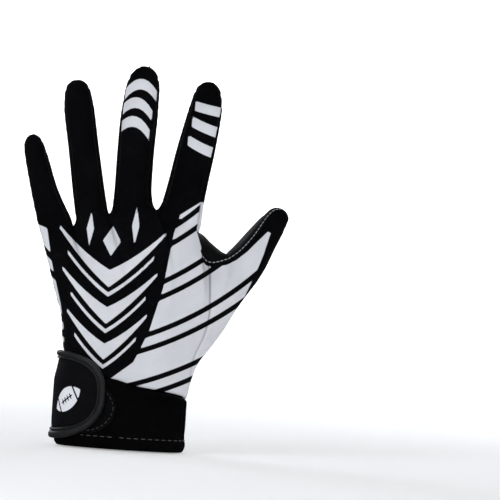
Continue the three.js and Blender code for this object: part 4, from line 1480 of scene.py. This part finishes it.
class GLOVE_OT_stage(bpy.types.Operator):
    """Set the floor, the backdrop, the lights and the camera"""

    bl_idname = "glove.stage"
    bl_label = "Stage"

    def execute(self, context):
        settings = context.scene.glove_stage
        mesh = bmesh.new()
        bmesh.ops.create_circle(mesh, cap_ends=True, segments=96, radius=BOWL_RADIUS)
        bmesh.ops.translate(mesh, verts=mesh.verts, vec=(0, 0, -FLOOR_DROP))
        rim = list(mesh.edges)
        raised = bmesh.ops.extrude_edge_only(mesh, edges=rim)
        upper = [item for item in raised["geom"] if isinstance(item, bmesh.types.BMVert)]
        bmesh.ops.translate(mesh, verts=upper, vec=(0, 0, BOWL_HEIGHT))
        bmesh.ops.bevel(mesh, geom=rim, offset=BOWL_BEND, segments=16, profile=0.5, affect="EDGES")
        floor = link_mesh(mesh, "floor")
        # Glossy coats mirror the lamps and the dark room, not the bright paper.
        floor.visible_glossy = False
        floor.data.materials.append(self.floor_material(settings))
        self.lights(context)
        self.camera(context, settings)
        return {"FINISHED"}

    def floor_material(self, settings):
        """Pale paper that glows: painted light, dimmest on the middle of the floor, stronger out towards
        the wall and up its low part, and faint higher up.
        """
        n = Surface("pale_floor", roughness=0.8, specular_ior_level=0.1, base_color=rgba(settings.floor))
        place = n.place()
        flat = n.add("ShaderNodeVectorMath", {0: place, 1: (1, 1, 0)}, operation="MULTIPLY").outputs[0]
        radius = n.add("ShaderNodeVectorMath", {0: flat}, operation="LENGTH").outputs["Value"]
        height = n.add("ShaderNodeSeparateXYZ", {0: place}).outputs[2]
        # Painted light: the paper's glow, 0.3 under the glove rising to 0.92 far out, faded to a tenth
        # between 0.8 m and 1.6 m.
        glow = n.math("MULTIPLY", n.span(radius, 0.4, 3.0, 0.3, 0.92), n.span(height, 0.8, 1.6, 1.0, 0.1))
        n.shade(emission_color=(1, 1, 1, 1), emission_strength=glow)
        return n.material

    def lights(self, context):
        for lamp in LAMPS:
            data = bpy.data.lights.new(lamp.name, "AREA")
            data.size = lamp.size
            data.energy = lamp.power
            data.color = LAMP_COLOUR
            light = bpy.data.objects.new(lamp.name, data)
            light.location = lamp.place
            aim = Vector(lamp.aim) - Vector(lamp.place)
            light.rotation_euler = aim.to_track_quat("-Z", "Y").to_euler()
            context.scene.collection.objects.link(light)
        world = bpy.data.worlds.new("studio")
        world.use_nodes = True
        background = world.node_tree.nodes["Background"]
        background.inputs[0].default_value = WORLD_COLOUR
        background.inputs[1].default_value = WORLD_STRENGTH
        context.scene.world = world
        context.scene.view_settings.view_transform = "Standard"

    def camera(self, context, settings):
        data = bpy.data.cameras.new("camera")
        data.lens = settings.lens
        data.sensor_width = 36
        distance = PHOTO_WIDTH * MM / 2 / (data.sensor_width / 2 / data.lens)
        camera = bpy.data.objects.new("camera", data)
        context.scene.collection.objects.link(camera)
        place = Vector((PHOTO_CENTRE[0] * MM, -distance, PHOTO_CENTRE[1] * MM))
        upright = Matrix.Rotation(math.radians(90), 4, "X")
        lean = Matrix.Rotation(math.radians(PHOTO_LEAN), 4, "Z")
        camera.matrix_world = Matrix.Translation(place) @ upright @ lean
        context.scene.camera = camera


class GLOVE_PT_sidebar(bpy.types.Panel):
    """The glove's pieces and settings"""

    bl_idname = "GLOVE_PT_sidebar"
    bl_label = "Football glove"
    bl_space_type = "VIEW_3D"
    bl_region_type = "UI"
    bl_category = "Glove"

    def draw(self, context):
        layout = self.layout
        for name, kind in SETTINGS.items():
            box = layout.box()
            for key in kind.__annotations__:
                box.prop(getattr(context.scene, name), key)
        for operator in OPERATORS:
            layout.operator(operator.bl_idname)


SETTINGS = {"glove_sizes": GloveSizes, "glove_colours": GloveColours, "glove_stage": GloveStage}
OPERATORS = (GLOVE_OT_panels, GLOVE_OT_cuff, GLOVE_OT_strap, GLOVE_OT_stitches, GLOVE_OT_stage)
CLASSES = (*SETTINGS.values(), *OPERATORS, GLOVE_PT_sidebar)


def register():
    for cls in CLASSES:
        bpy.utils.register_class(cls)
    for name, kind in SETTINGS.items():
        setattr(bpy.types.Scene, name, bpy.props.PointerProperty(type=kind))


def unregister():
    for name in SETTINGS:
        delattr(bpy.types.Scene, name)
    for cls in reversed(CLASSES):
        bpy.utils.unregister_class(cls)


def main():
    register()
    bpy.ops.glove.panels()
    bpy.ops.glove.cuff()
    bpy.ops.glove.strap()
    bpy.ops.glove.stitches()
    bpy.ops.glove.stage()


if __name__ == "__main__":
    main()
